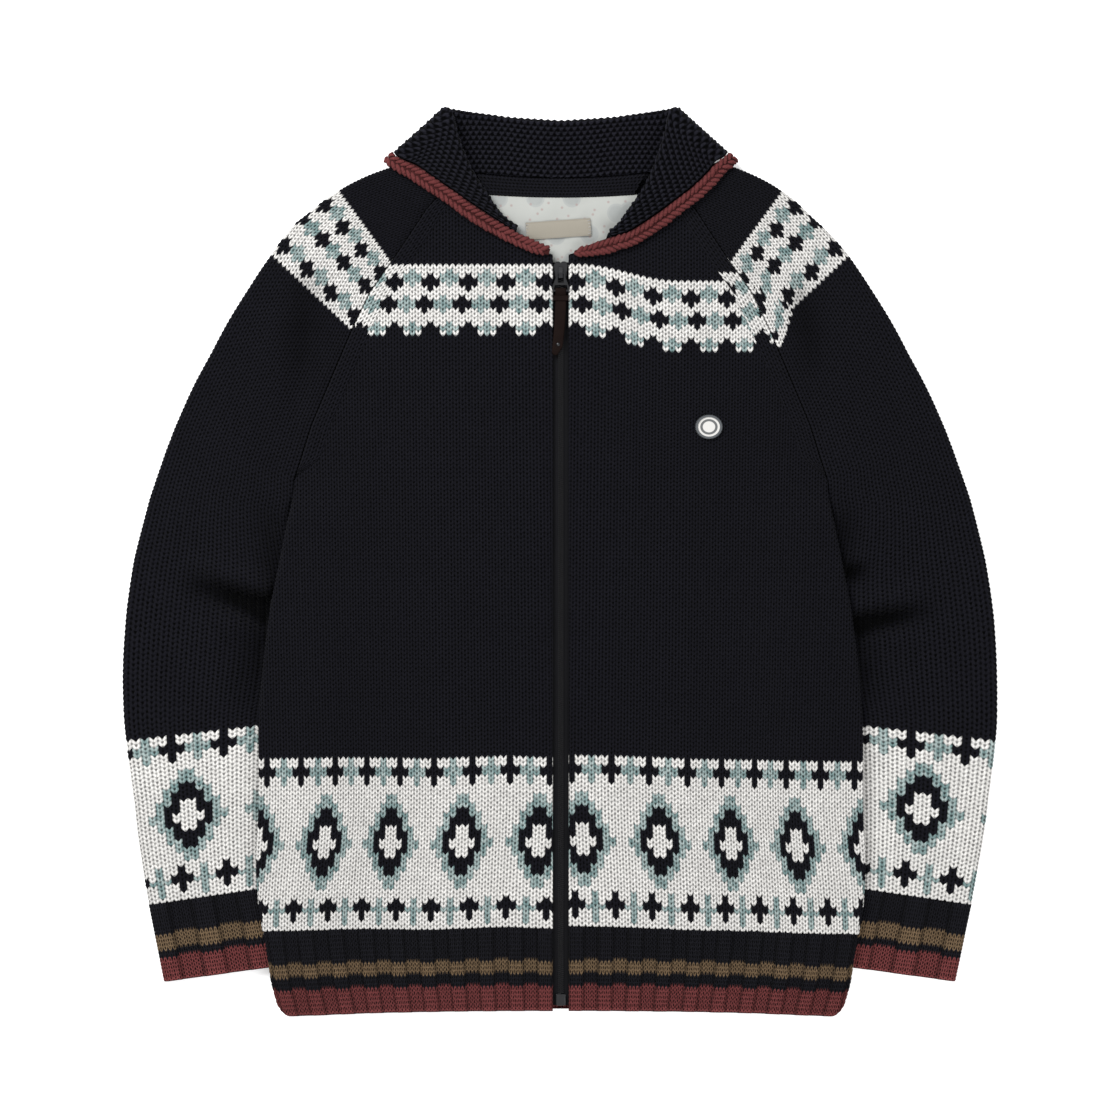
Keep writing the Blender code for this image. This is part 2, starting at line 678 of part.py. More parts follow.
def back_neck_y(x):
    """The back neck seam, which rises a little to the sides."""
    return min(BACK_NECK_Y + BACK_NECK_RISE * (x / BACK_NECK_X) ** 2, SLEEVE[0].back_y)


# The welt


def dipped(x, y):
    """A warp for the welt's rows."""
    return x, y + bow(x)


def rib_profile(reference, period, length):
    """Distances along a row and the height of its outer points over each: four points to a rib.

    The ribs are counted on the reference length and drawn in or out to fit the row.
    """
    places, heights = [0.0], [RIB_HEIGHT / 2]
    for rib in range(math.ceil(reference / period)):
        for share, up in zip(RIB_EDGES, (1, 1, -1, -1)):
            place = (rib + share) * period
            if place < reference - RIB_REST:
                places.append(place)
                heights.append(up * RIB_HEIGHT / 2)
    places.append(reference)
    heights.append(heights[-1])
    return [place * length / reference for place in places], heights


def add_front_welt(side):
    """Half of the front welt: ribs across its outer points over a plain inside."""
    outer, inner = [], []
    reference = side_x(WELT_TOP_Y) - ZIP_EDGE_X - FOLD
    for share in WELT_ROWS:
        level = WELT_TOP_Y + share * (WELT_BOTTOM_Y - WELT_TOP_Y)
        level += -SEAM / 2 if share == 0 else 0
        edge = side_x(level + bow(BOW_HALF_WIDTH))
        out, within = [], []
        places, heights = rib_profile(reference, RIB_PERIOD, edge - ZIP_EDGE_X - FOLD)
        for place, raised in zip(places, heights):
            x = ZIP_EDGE_X + place
            y = level + bow(x)
            height = base(x, y) + front_height(x, y)
            out.append((x, y, height + raised))
            within.append((x, y, height - WALL))
        for outside, inside in fold_samples(FOLD_COLUMNS, 1.0):
            for found, (reach, rise) in ((out, outside), (within, inside)):
                x = edge - FOLD + reach
                y = level + bow(x)
                found.append((x, y, base(x, y) + FOLD + rise))
        outer.append(out)
        inner.append(within)
    name = "welt_left" if side > 0 else "welt_right"
    add_wall(name, mirrored(outer, side), mirrored(inner, side), material("navy rib", NAVY))


def add_back_welt():
    """The back welt, plain where it lies on the surface."""
    outer, inner = [], []
    for share in WELT_ROWS:
        level = WELT_TOP_Y + share * (WELT_BOTTOM_Y - WELT_TOP_Y)
        level += -SEAM / 2 if share == 0 else 0
        edge = side_x(level + bow(BOW_HALF_WIDTH))
        halves = body_row((0, level), (edge, level), 1.0, BACK_COLUMNS, False, dipped)
        for found, half in zip((outer, inner), halves):
            found.append(both_halves(half))
    add_wall("welt_back", outer, inner, material("navy rib", NAVY))


# Sleeves and cuffs


def tube_row(side, place, row, ribs=None):
    """One row round a flattened tube, from its inner edge over the top and back underneath."""
    inner_x, inner_y, outer_x, outer_y, back_x, back_y = row
    curl = smooth(place - UNDERARM_ROW)
    tip = np.array([outer_x, outer_y])
    halves = []
    for top, start in ((True, np.array([inner_x, inner_y])), (False, np.array([back_x, back_y]))):
        length = float(np.linalg.norm(tip - start))
        along = (tip - start) / length
        start = start + along * SEAM
        length -= SEAM
        up = 1 if top else -1
        out, within = [], []
        for outside, inside in reversed(fold_samples(SLEEVE_FOLD_COLUMNS, curl)):
            for found, (reach, rise) in ((out, outside), (within, inside)):
                plan = start + along * (FOLD - reach)
                found.append((*plan, plan_base(place, *plan) + FOLD + up * rise))
        flat_length = length - 2 * FOLD
        places = [flat_length * share for share in SLEEVE_COLUMNS]
        heights = [0.0] * len(places)
        if ribs and top:
            places, heights = rib_profile(CUFF_WIDTH - 2 * FOLD, ribs, flat_length)
        for distance, raised in zip(places, heights):
            plan = start + along * (FOLD + distance)
            floor = plan_base(place, *plan)
            if top:
                share = (FOLD + distance) / length
                level = floor + tube_height(side, share, place, *plan)
                out.append((*plan, level + raised))
                within.append((*plan, level - WALL))
            else:
                out.append((*plan, floor))
                within.append((*plan, floor + WALL))
        for step in range(1, FOLD_COLUMNS + 1):
            angle = math.pi / 2 * (1 - step / FOLD_COLUMNS)
            for found, radius in ((out, FOLD), (within, FOLD - WALL)):
                plan = tip - along * (FOLD - radius * math.cos(angle))
                floor = plan_base(place, *plan)
                found.append((*plan, floor + FOLD + up * radius * math.sin(angle)))
        halves.append((out, within))
    (top_out, top_in), (low_out, low_in) = halves
    return top_out + low_out[-2::-1], top_in + low_in[-2::-1]


def plan_base(place, x, y):
    """A sleeve rests on the surface, and only the collar's fall raises it at the neck."""
    return neck_lift(x, y) if place < NECK_ROW else 0.0


def add_sleeve(side):
    outer, inner = [], []
    for place in SLEEVE_PLACES:
        row = between(SLEEVE, place)
        if place < UNDERARM_ROW:
            row[:2], row[4:] = seam_point(place, 0), seam_point(place, 1)
        elif place < UNDERARM_ROW + 1:
            row[0] = row[4] = side_x(row[1])
        if place == SLEEVE_PLACES[-1]:
            row[[1, 3, 5]] += SEAM / 2
        out, within = tube_row(side, place, row)
        outer.append(out)
        inner.append(within)
    name = "sleeve_left" if side > 0 else "sleeve_right"
    add_wall(name, mirrored(outer, side), mirrored(inner, side), material("navy knit", NAVY))


def add_cuff(side):
    """A ribbed cuff in line with the sleeve, plain where it lies on the surface."""
    outer, inner = [], []
    start, end = np.array(CUFF_TOP), np.array(CUFF_BOTTOM)
    for share in WELT_ROWS:
        inner_x, inner_y, outer_x, outer_y = start + (end - start) * share
        if share == 0:
            inner_y -= SEAM / 2
            outer_y -= SEAM / 2
        row = (inner_x, inner_y, outer_x, outer_y, inner_x, inner_y)
        out, within = tube_row(side, len(SLEEVE) + share, row, CUFF_RIB_PERIOD)
        outer.append(out)
        inner.append(within)
    name = "cuff_left" if side > 0 else "cuff_right"
    add_wall(name, mirrored(outer, side), mirrored(inner, side), material("navy rib", NAVY))


# The collar


def unit(vector):
    return vector / np.linalg.norm(vector)


def collar_stations(side):
    """Rows of the collar on one side, from the front end to the middle of the back.

    Each gives the plan points, the direction from the stand to the fall, and the same direction
    at the outer edge. At the corner it turns from upwards, through sideways, to downwards.
    """
    fronts = COLLAR_WEARERS_LEFT if side > 0 else COLLAR_WEARERS_RIGHT
    up = np.array([0.0, 0.0, 1.0])
    stations = [(row, up, up) for row in fronts]
    stand_out = np.array([1.0, 0.0, 0.0])
    fall_out = unit(np.array(CORNER_OUT))
    for degrees in CORNER_DEGREES:
        angle = math.radians(degrees)
        turned = [math.cos(angle) * out + math.sin(angle) * up for out in (stand_out, fall_out)]
        stations.append((COLLAR_CORNER, *turned))
    stations += [(row, -up, -up) for row in COLLAR_BACK]
    return stations


def collar_levels(row):
    """Mid-wall heights of the stand's ends, the fall's ends and the trim's edge, in front and behind."""
    seam_back = NECK_LIFT + WALL / 2
    seam_top = top_surface(row.seam_x, row.seam_y) - WALL / 2
    roll_back = WALL / 2 + 2 * ROLL
    roll_top = base(row.roll_x, row.roll_y) + TUBE + SEAM - WALL / 2
    near_corner = smooth((row.roll_x - CORNER_START_X) / CORNER_RUN)
    roll_top += near_corner * (roll_back + 2 * STAND_SPREAD - roll_top)
    edge_top = top_surface(row.edge_x, row.edge_y) + SEAM + WALL / 2
    trim_top = top_surface(row.trim_x, row.trim_y) + SEAM + TRIM_THICKNESS / 2
    strip_top = edge_top + (TRIM_THICKNESS - WALL) / 2
    strip_back = TRIM_THICKNESS / 2
    fall_top = roll_top + 2 * roll_radius(row)
    tops = np.array([seam_top, roll_top, fall_top, edge_top, strip_top, trim_top])
    backs = np.array([seam_back, roll_back, WALL / 2, WALL / 2, strip_back, strip_back])
    return tops, backs


def roll_radius(row):
    """The roll is tighter where the fall gets narrow, towards the collar's front end."""
    width = math.hypot(row.edge_x - row.roll_x, row.edge_y - row.roll_y)
    return min(ROLL, WALL / 2 + SEAM + ROLL_SHARE * width)


def collar_section(station):
    """Mid-wall points and outward directions across the collar, from the neck seam to the edge,
    and the same for the trim."""
    row, towards, fall_towards = station
    tops, backs = collar_levels(row)
    roll = roll_radius(row)
    middle, spread = (tops + backs) / 2, (tops - backs) / 2
    plans = [
        (row.seam_x, row.seam_y),
        (row.roll_x, row.roll_y),
        (row.roll_x, row.roll_y),
        (row.edge_x, row.edge_y),
        (row.edge_x, row.edge_y),
        (row.trim_x, row.trim_y),
    ]
    points = []
    for index, plan in enumerate(plans):
        out = towards if index < 2 else fall_towards
        points.append(np.array([*plan, middle[index]]) + spread[index] * out)
    seam, stand_top, fall_top, edge, strip, trim = points
    rise = stand_top - seam
    rise[2] = 0
    along = unit(rise)
    stand_top = stand_top - along * (roll + WALL / 2)
    fall_top = fall_top - along * (roll + WALL / 2)
    seam = seam + along * COLLAR_GAP
    points = [seam, (seam + stand_top) / 2, stand_top]
    normals = [-towards, -towards, -towards]
    centre = (stand_top + fall_top) / 2
    half = (fall_top - stand_top) / 2
    for share in (1 / 3, 2 / 3):
        angle = math.pi * share
        points.append(centre - half * math.cos(angle) + along * roll * math.sin(angle))
        mixed = towards * (1 - share) + fall_towards * share
        normals.append(unit(-unit(mixed) * math.cos(angle) + along * math.sin(angle)))
    points += [fall_top, (fall_top + edge) / 2, edge]
    normals += [fall_towards, fall_towards, fall_towards]
    return np.array(points), np.array(normals), strip, trim


def add_collar():
    """The collar from one front end round the back neck to the other, rolled on itself."""
    outer, inner = [], []
    for side in (-1, 1):
        stations = collar_stations(side)
        stations = stations if side < 0 else stations[-2::-1]
        for station in stations:
            points, normals, _, _ = collar_section(station)
            outer.append(mirrored(points + normals * WALL / 2, side))
            inner.append(mirrored(points - normals * WALL / 2, side))
    add_wall("collar", outer, inner, material("navy garter knit", NAVY))


def add_collar_trim():
    """The trim along the collar's edge, a thicker strip with a rounded top."""
    outer, inner = [], []
    for side in (-1, 1):
        rows = []
        up = np.array([0.0, 0.0, 1.0])
        for edge_x, edge_y, trim_x, trim_y in TRIM_FRONT_END[side]:
            level = top_surface(trim_x, trim_y) + SEAM + TRIM_THICKNESS / 2
            edge = np.array([edge_x, edge_y, level])
            trim = np.array([trim_x, trim_y, level])
            rows.append((edge, trim, up))
        for station in collar_stations(side):
            _, _, edge, trim = collar_section(station)
            rows.append((edge, trim, station[2]))
        rows = rows if side < 0 else rows[-2::-1]
        for edge, trim, out in rows:
            start = edge + unit(trim - edge) * SEAM
            half = out * TRIM_THICKNESS / 2
            points = [start + (trim - start) * row.across for row in TRIM_SECTION]
            tops = [point + half * row.outer for point, row in zip(points, TRIM_SECTION)]
            unders = [point - half * row.inner for point, row in zip(points, TRIM_SECTION)]
            outer.append(mirrored(tops, side))
            inner.append(mirrored(unders, side))
    add_wall("collar_trim", outer, inner, material("burgundy garter knit", BURGUNDY))


# Inside the neck


def tape_bottom_y(x):
    return NECK_TAPE_BOTTOM_Y + NECK_TAPE_BOTTOM_RISE * (x / NECK_TAPE_HALF[1]) ** 2


def add_neck_tape():
    """The ribbed tape over the back neck seam, three ridges deep."""
    outer, inner = [], []
    floor = WALL + SEAM
    upper, lower = NECK_TAPE_HALF
    for share in np.linspace(-1, 1, NECK_TAPE_STEPS + 1):
        out, within = [], []
        for place in range(2 * TAPE_RIDGES + 1):
            down = place / (2 * TAPE_RIDGES)
            x = share * (upper + (lower - upper) * down)
            y = back_neck_y(x) * (1 - down) + tape_bottom_y(x) * down - SEAM
            level = neck_lift(x, y) + floor
            thickness = TAPE_NECK_THICKNESS if place % 2 else TAPE_VALLEY
            out.append((x, y, level + thickness))
            within.append((x, y, level))
        outer.append(out)
        inner.append(within)
    add_wall("neck_tape", outer, inner, material("navy tape", NAVY))


def lining_half_width(y):
    return read([row.y for row in LINING], [row.half_width for row in LINING], y)


def add_lining():
    """The part of the lining that shows inside the neck, on the back."""
    outer, inner = [], []
    low, high = LINING[0].y, LINING[-1].y
    rows, columns = LINING_GRID
    for share in np.linspace(0, 1, rows):
        out, within = [], []
        for across in np.linspace(-1, 1, columns):
            y = low + share * (high - low)
            x = across * lining_half_width(y)
            y -= share * (high - tape_bottom_y(x)) + 2 * SEAM
            level = neck_lift(x, y) + WALL + SEAM
            out.append((x, y, level + LINING_THICKNESS))
            within.append((x, y, level))
        outer.append(out)
        inner.append(within)
    add_wall("back_lining", outer, inner, material("lining", WHITE))


def add_label():
    """The blank woven label, lying on the lining."""
    outer, inner = [], []
    width, depth, thickness = LABEL_SIZE
    rows, columns = LABEL_GRID
    for down in np.linspace(-0.5, 0.5, rows):
        out, within = [], []
        for across in np.linspace(-0.5, 0.5, columns):
            x, y = across * width, down * depth
            turned_x = x * math.cos(LABEL_TURN) - y * math.sin(LABEL_TURN) + LABEL_CENTRE[0]
            turned_y = x * math.sin(LABEL_TURN) + y * math.cos(LABEL_TURN) + LABEL_CENTRE[1]
            level = neck_lift(turned_x, turned_y) + WALL + LINING_THICKNESS + 3 * SEAM
            out.append((turned_x, turned_y, level + thickness))
            within.append((turned_x, turned_y, level))
        outer.append(out)
        inner.append(within)
    add_wall("neck_label", outer, inner, material("label", BEIGE, 0.8))


# The zip


def add_zip():
    tape, chain = material("zip tape", BLACK, 0.8), material("zip teeth", GUNMETAL, 0.4, 1.0)
    lower = WELT_BOTTOM_Y + ZIP_END_GAP
    for side, name in ((1, "zip_tape_left"), (-1, "zip_tape_right")):
        sides = sorted((side * SEAM / 2, side * TAPE_HALF_WIDTH))
        add_box(
            name,
            (sides[0], lower, TAPE_TOP_Z - TAPE_THICKNESS),
            (sides[1], ZIP_TOP_Y, TAPE_TOP_Z),
            tape,
        )
    add_box(
        "zip_chain",
        (-CHAIN_HALF_WIDTH, lower + STOP_LENGTH + SEAM, TAPE_TOP_Z + SEAM),
        (CHAIN_HALF_WIDTH, ZIP_TOP_Y - CHAIN_TOP_GAP, CHAIN_TOP_Z),
        chain,
        METAL_BEVEL,
    )
    add_box(
        "zip_bottom_box",
        (-STOP_HALF_WIDTH, lower, TAPE_TOP_Z + SEAM),
        (STOP_HALF_WIDTH, lower + STOP_LENGTH, CHAIN_TOP_Z + STOP_RISE),
        chain,
        METAL_BEVEL,
    )


def symmetric(half):
    """An outline that is the same left and right, from its right half taken downwards."""
    return half + [(-x, y) for x, y in reversed(half)]


def arch(middle, half, foot, spring, rise):
    """Points of an arch from one foot to the other, as distance along and height."""
    points = [(middle - half, foot)]
    for angle in np.linspace(math.pi, 0, CROWN_STEPS + 1):
        points.append((middle + half * math.cos(angle), spring + rise * math.sin(angle)))
    return [*points, (middle + half, foot)]


def add_slider():
    """The slider's upper plate with its crown, an arch that holds the pull's pin."""
    metal = material("slider metal", GUNMETAL, 0.35, 1.0)
    plate_bottom = CHAIN_TOP_Z + SEAM
    upper, lower = SLIDER_HALF_WIDTH
    low_y = SLIDER_TOP_Y - SLIDER_LENGTH
    half = [
        (SLIDER_NOTCH[0], SLIDER_TOP_Y),
        (upper - SLIDER_SHOULDER[0], SLIDER_TOP_Y),
        (upper, SLIDER_TOP_Y - SLIDER_SHOULDER[1]),
        (lower, low_y + SLIDER_HEEL),
        (lower - SLIDER_HEEL, low_y),
    ]
    outline = [(0, SLIDER_TOP_Y - SLIDER_NOTCH[1]), *symmetric(half)]
    plate = add_outline(
        "slider_plate", outline, plate_bottom, SLIDER_PLATE, metal, bevel=METAL_BEVEL
    )
    middle = HINGE_Y + CROWN_SHIFT
    foot = plate_bottom + SLIDER_PLATE - CROWN_SINK
    reach, rise = CROWN_LENGTH / 2, (1 - CROWN_SPRING) * CROWN_ROOM
    outside = arch(middle, reach, foot, HINGE_Z, rise + CROWN_METAL)
    inside = arch(middle, reach - CROWN_METAL, foot, HINGE_Z, rise)
    crown = add_outline("slider_crown", outside + inside[::-1], 0, CROWN_WIDTH, metal)
    stand_on_edge(crown)
    join_solids("zip_slider", plate, crown, metal)


def stand_on_edge(made):
    """Turns a flat piece drawn as (along, up) so that it stands along Y, centred on x = 0."""
    made.location = (0, 0, 0)
    made.rotation_euler = (math.pi / 2, 0, math.pi / 2)


def solid_copy(made):
    """The object's evaluated mesh in world space, with the loose caps of a curve welded."""
    bpy.context.view_layer.update()
    graph = bpy.context.evaluated_depsgraph_get()
    mesh = bpy.data.meshes.new_from_object(made.evaluated_get(graph))
    mesh.transform(made.matrix_world)
    shell = bmesh.new()
    shell.from_mesh(mesh)
    bmesh.ops.remove_doubles(shell, verts=shell.verts, dist=1e-6)
    bmesh.ops.recalc_face_normals(shell, faces=shell.faces)
    shell.to_mesh(mesh)
    shell.free()
    return mesh


def join_solids(name, first, second, finish):
    """One solid of two overlapping pieces."""
    body = add_object(name, solid_copy(first), finish)
    cutter = add_cutter(name + "_part", second)
    union = body.modifiers.new("union", "BOOLEAN")
    union.operation = "UNION"
    union.object = cutter
    bpy.data.objects.remove(first)


def add_cutter(name, made):
    """A hidden solid for a Boolean in place of the given piece."""
    cutter = bpy.data.objects.new(name, solid_copy(made))
    bpy.data.collections["cutters"].objects.link(cutter)
    cutter.hide_render = True
    cutter.display_type = "WIRE"
    bpy.data.objects.remove(made)
    return cutter


def pull_frame():
    """An empty on the hinge's axis, turned so that its -Y runs down the pull."""
    hinge = bpy.data.objects.new("pull_hinge", None)
    hinge.location = (0, HINGE_Y, HINGE_Z)
    hinge.rotation_euler = (math.atan(PULL_SLOPE), 0, 0)
    bpy.data.collections["cowichan_cardigan"].objects.link(hinge)
    return hinge


def add_link(hinge):
    """The metal link: a pin at the hinge, a window for the crown and a slot for the strap."""
    upper, lower = LINK_HALF_WIDTH
    end = -LINK_LENGTH
    outline = symmetric(
        [
            (upper, PIN_RADIUS),
            (upper, -LINK_SHOULDER),
            (lower, end + LINK_HEEL[1]),
            (lower - LINK_HEEL[0], end),
        ]
    )
    window = symmetric([(upper - LINK_RIM, -PIN_RADIUS), (upper - LINK_RIM, -LINK_WINDOW_END)])
    bar_top = end + LINK_BAR
    slot = symmetric(
        [
            (lower - LINK_SLOT_RIM[0], bar_top + LINK_SLOT),
            (lower - LINK_SLOT_RIM[1], bar_top),
        ]
    )
    metal = material("link metal", GUNMETAL, 0.3, 1.0)
    bottom = -LINK_METAL / 2
    link = add_outline(
        "zip_pull_link", outline, bottom, LINK_METAL, metal, (window, slot), LINK_BEVEL
    )
    link.parent = hinge


def strap_join_y():
    """Where the strap's two layers have come together, below the link."""
    return -LINK_LENGTH - SEAM - STRAP_BEND


def add_strap(hinge):
    """The leather strap: folded round the link's bar, its layers joined below, its end cut aslant."""
    leather = material("leather", LEATHER, 0.55)
    bar_top, bar_low = -LINK_LENGTH + LINK_BAR + SEAM, -LINK_LENGTH - SEAM
    inside = LINK_METAL / 2 + SEAM
    outside = inside + STRAP_LAYER
    tip = TAB_END_Y - HINGE_Y
    above = [
        (bar_top + STRAP_LAYER, STRAP_FOLD_SHARE * outside),
        (bar_top, outside),
        (bar_low, outside),
        (strap_join_y(), STRAP_LAYER),
        (tip, STRAP_LAYER),
    ]
    profile = above + [(along, -up) for along, up in reversed(above)]
    hole = [(bar_top, inside), (bar_low, inside), (bar_low, -inside), (bar_top, -inside)]
    folded = add_outline("strap_profile", profile, 0, TAB_WIDTH, leather, (hole,))
    stand_on_edge(folded)
    tab = add_object("zip_pull_tab", solid_copy(folded), leather)
    bpy.data.objects.remove(folded)
    tab.parent = hinge
    slant = [(-TAB_WIDTH, tip + SLANT[0]), (TAB_WIDTH, tip + SLANT[1])]
    slant += [(x, tip - CUTTER_SIZE) for x in (TAB_WIDTH, -TAB_WIDTH)]
    beyond = add_outline("slant", slant, -CUTTER_SIZE / 2, CUTTER_SIZE, leather)
    cutter = add_cutter("slant_cutter", beyond)
    cutter.parent = hinge
    cut = tab.modifiers.new("slanted end", "BOOLEAN")
    cut.operation = "DIFFERENCE"
    cut.object = cutter


def add_keeper(hinge):
    """The leather keeper round the strap, just below the link."""
    room = STRAP_LAYER + SEAM
    gap = TAB_WIDTH / 2 + SEAM
    ring = symmetric([(KEEPER_WIDTH / 2, room + KEEPER_BAND), (KEEPER_WIDTH / 2, -room - KEEPER_BAND)])
    opening = symmetric([(gap, room), (gap, -room)])
    leather = material("leather", LEATHER, 0.55)
    keeper = add_outline(
        "zip_pull_keeper", ring, 0, KEEPER_LENGTH, leather, (opening,), KEEPER_BEVEL
    )
    keeper.location = (0, strap_join_y() - SEAM - KEEPER_LENGTH / 2, 0)
    keeper.rotation_euler = (math.pi / 2, 0, 0)
    keeper.parent = hinge


def add_pull():
    """The metal link on its pin, the strap that loops through it and the strap's keeper."""
    hinge = pull_frame()
    add_link(hinge)
    add_strap(hinge)
    add_keeper(hinge)


def add_badge():
    """The small plain badge on the wearer's left chest: an oval with a raised rim."""
    width, depth, thickness = BADGE_SIZE
    x, y = BADGE_CENTRE
    face = thickness * BADGE_FACE
    profile = [(0.74, face), (0.80, thickness), (0.94, thickness), (1.0, face), (1.0, 0.0)]
    mesh = bpy.data.meshes.new("chest_badge")
    shell = bmesh.new()
    rings = []
    for radius, level in profile:
        ring = []
        for angle in np.linspace(0, 2 * math.pi, BADGE_SIDES, endpoint=False):
            reach_x = radius * width / 2 * math.cos(angle)
            reach_y = radius * depth / 2 * math.sin(angle)
            ring.append(shell.verts.new((reach_x, reach_y, level)))
        rings.append(ring)
    for low, high in zip(rings, rings[1:]):
        for step in range(BADGE_SIDES):
            shell.faces.new((low[step - 1], low[step], high[step], high[step - 1]))
    shell.faces.new(rings[0])
    shell.faces.new(rings[-1])
    bmesh.ops.recalc_face_normals(shell, faces=shell.faces)
    shell.to_mesh(mesh)
    shell.free()
    badge = add_object("chest_badge", mesh, material("badge", BADGE_GREY, 0.4))
    reach = (0, -width / 2, width / 2)
    high = max(top_surface(x + dx, y + dy) for dx in reach for dy in reach)
    badge.location = (x, y, high + SEAM)


def main():
    for spare in list(bpy.data.objects):
        bpy.data.objects.remove(spare)
    for name in ("cowichan_cardigan", "cutters"):
        collection = bpy.data.collections.new(name)
        bpy.context.scene.collection.children.link(collection)
    add_back()
    for side in (1, -1):
        add_front(side)
        add_sleeve(side)
        add_cuff(side)
        add_front_welt(side)
    add_back_welt()
    add_collar()
    add_collar_trim()
    add_neck_tape()
    add_lining()
    add_label()
    add_zip()
    add_slider()
    add_pull()
    add_badge()


main()
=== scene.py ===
# %% [markdown]
# # A zip-front cowichan cardigan, laid flat
# The cardigan is knitted in thick yarn: two fronts, a back and two sleeves in stocking stitch, ribbed
# welts and cuffs, a rolled collar in garter stitch with a trimmed edge, and an open-end zip. Here each
# knitted piece is built the way it is knitted, stitch by stitch, on the form of its solid.

# %% The frame
import math

import bmesh
import bpy
import numpy as np
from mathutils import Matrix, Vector


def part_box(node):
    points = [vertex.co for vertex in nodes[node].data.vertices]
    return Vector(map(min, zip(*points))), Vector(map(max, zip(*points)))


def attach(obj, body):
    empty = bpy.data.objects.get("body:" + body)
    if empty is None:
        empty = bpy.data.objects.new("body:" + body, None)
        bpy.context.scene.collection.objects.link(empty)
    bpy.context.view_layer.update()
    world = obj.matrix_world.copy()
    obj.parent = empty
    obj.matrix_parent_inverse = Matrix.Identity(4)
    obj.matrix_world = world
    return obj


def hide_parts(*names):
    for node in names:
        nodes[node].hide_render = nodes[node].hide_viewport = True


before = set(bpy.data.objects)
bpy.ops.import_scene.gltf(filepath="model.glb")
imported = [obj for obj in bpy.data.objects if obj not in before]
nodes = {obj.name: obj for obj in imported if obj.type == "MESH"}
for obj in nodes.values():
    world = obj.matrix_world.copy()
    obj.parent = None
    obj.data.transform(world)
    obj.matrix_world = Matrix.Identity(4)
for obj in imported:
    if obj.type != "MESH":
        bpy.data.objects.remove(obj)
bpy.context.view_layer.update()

# %% [markdown]
# ## Where the cloth lies
# The solids were lofted through a few rows. The same outlines are used here, so that the knitted
# pieces lie where their solids do: levels of the body along Y, its side folds, and the rows that
# cross a sleeve from its inner edge to its outer fold. All in metres.

# %% Levels and outlines
HANDS = ((1, "left"), (-1, "right"))
WALL = 0.0036
SEAM = 0.0003
TUBE = 2 * WALL + 0.0012
FOLD = TUBE / 2
FRONT_PUFF, SLEEVE_PUFF = 0.0017, 0.0026
ZIP_RISE, ZIP_RISE_RUN = 0.0018, 0.030
PUFF_RUN_ZIP, PUFF_RUN_SIDE = 0.060, 0.055
PUFF_NECK_Y, PUFF_NECK_RUN = 0.215, 0.040
UNEVEN_SHARE, UNEVEN_X, UNEVEN_Y = 0.25, 0.045, 0.070
UNDERARM_Y = 0.0654
WELT_TOP_Y, WELT_BOTTOM_Y = -0.3010, -0.3645
EDGE_BOW, BOW_HALF_WIDTH, BOW_LIMIT, BOW_TOP_Y, BOW_RUN = -0.0048, 0.240, 1.05, 0.050, 0.300
CURL_RUN = 0.030
ZIP_EDGE_X = 0.0065
LIFT, LIFT_RUN, LIFT_MARGIN, LIFT_START = TUBE + 0.0008, 0.075, 0.005, 0.038
LIFT_FADE_Y, LIFT_FADE_RUN, LIFT_FADE_SHARE = -0.340, 0.036, 0.55
NECK_LIFT, NECK_LIFT_RUN, NECK_LIFT_MARGIN = WALL + 0.0010, 0.034, 0.005
TRIM_BACK_Y, TRIM_CORNER = 0.2945, (0.1425, 0.3227)
BACK_NECK_Y, BACK_NECK_RISE, BACK_NECK_X, BACK_DIP_Y = 0.3120, 0.0040, 0.068, 0.240

# level and |x| of the body's side folds
SIDES = np.array([
    (-0.3700, 0.2290), (-0.3430, 0.2362), (-0.3060, 0.2420), (-0.2780, 0.2465), (-0.2290, 0.2496),
    (-0.1550, 0.2490), (-0.1310, 0.2467), (-0.0760, 0.2415), (-0.0350, 0.2360), (0.0025, 0.2284),
    (0.0490, 0.2190), (0.0654, 0.2179),
])
# rows across a sleeve from its neck end to its cuff: inner edge x and y, outer fold x and y
SLEEVE_ROWS = [
    (0.0900, 0.3060, 0.0985, 0.3190),
    (0.0990, 0.2980, 0.1200, 0.3210),
    (0.1105, 0.2860, 0.1390, 0.3185),
    (0.1387, 0.2435, 0.1804, 0.3007),
    (0.1560, 0.2190, 0.2073, 0.2737),
    (0.1710, 0.1880, 0.2335, 0.2467),
    (0.1885, 0.1470, 0.2680, 0.2000),
    (0.2040, 0.1100, 0.2955, 0.1530),
    (0.2179, 0.0654, 0.3165, 0.1070),
    (0.2218, 0.0350, 0.3260, 0.0760),
    (0.2170, 0.0050, 0.3335, 0.0470),
    (0.2100, -0.0250, 0.3405, 0.0180),
    (0.2065, -0.0520, 0.3465, -0.0110),
    (0.2055, -0.0750, 0.3515, -0.0450),
    (0.2075, -0.0960, 0.3547, -0.0820),
    (0.2120, -0.1150, 0.3555, -0.1160),
    (0.2160, -0.1320, 0.3541, -0.1479),
    (0.2210, -0.2000, 0.3460, -0.2170),
    (0.2240, -0.2657, 0.3345, -0.2819),
]
# the raglan seam of the back, by row; lower down it is the inner edge
BACK_SEAM = [
    (0.0760, 0.3168), (0.0880, 0.3030), (0.1010, 0.2880), (0.1330, 0.2435), (0.1520, 0.2190),
    (0.1680, 0.1880), (0.1860, 0.1470), (0.2025, 0.1100),
]
SLEEVE = np.array([
    (*row, *(BACK_SEAM[k] if k < len(BACK_SEAM) else row[:2])) for k, row in enumerate(SLEEVE_ROWS)
])
UNDERARM_ROW, NECK_ROW, LAST_ROW = 8, 4, len(SLEEVE) - 1
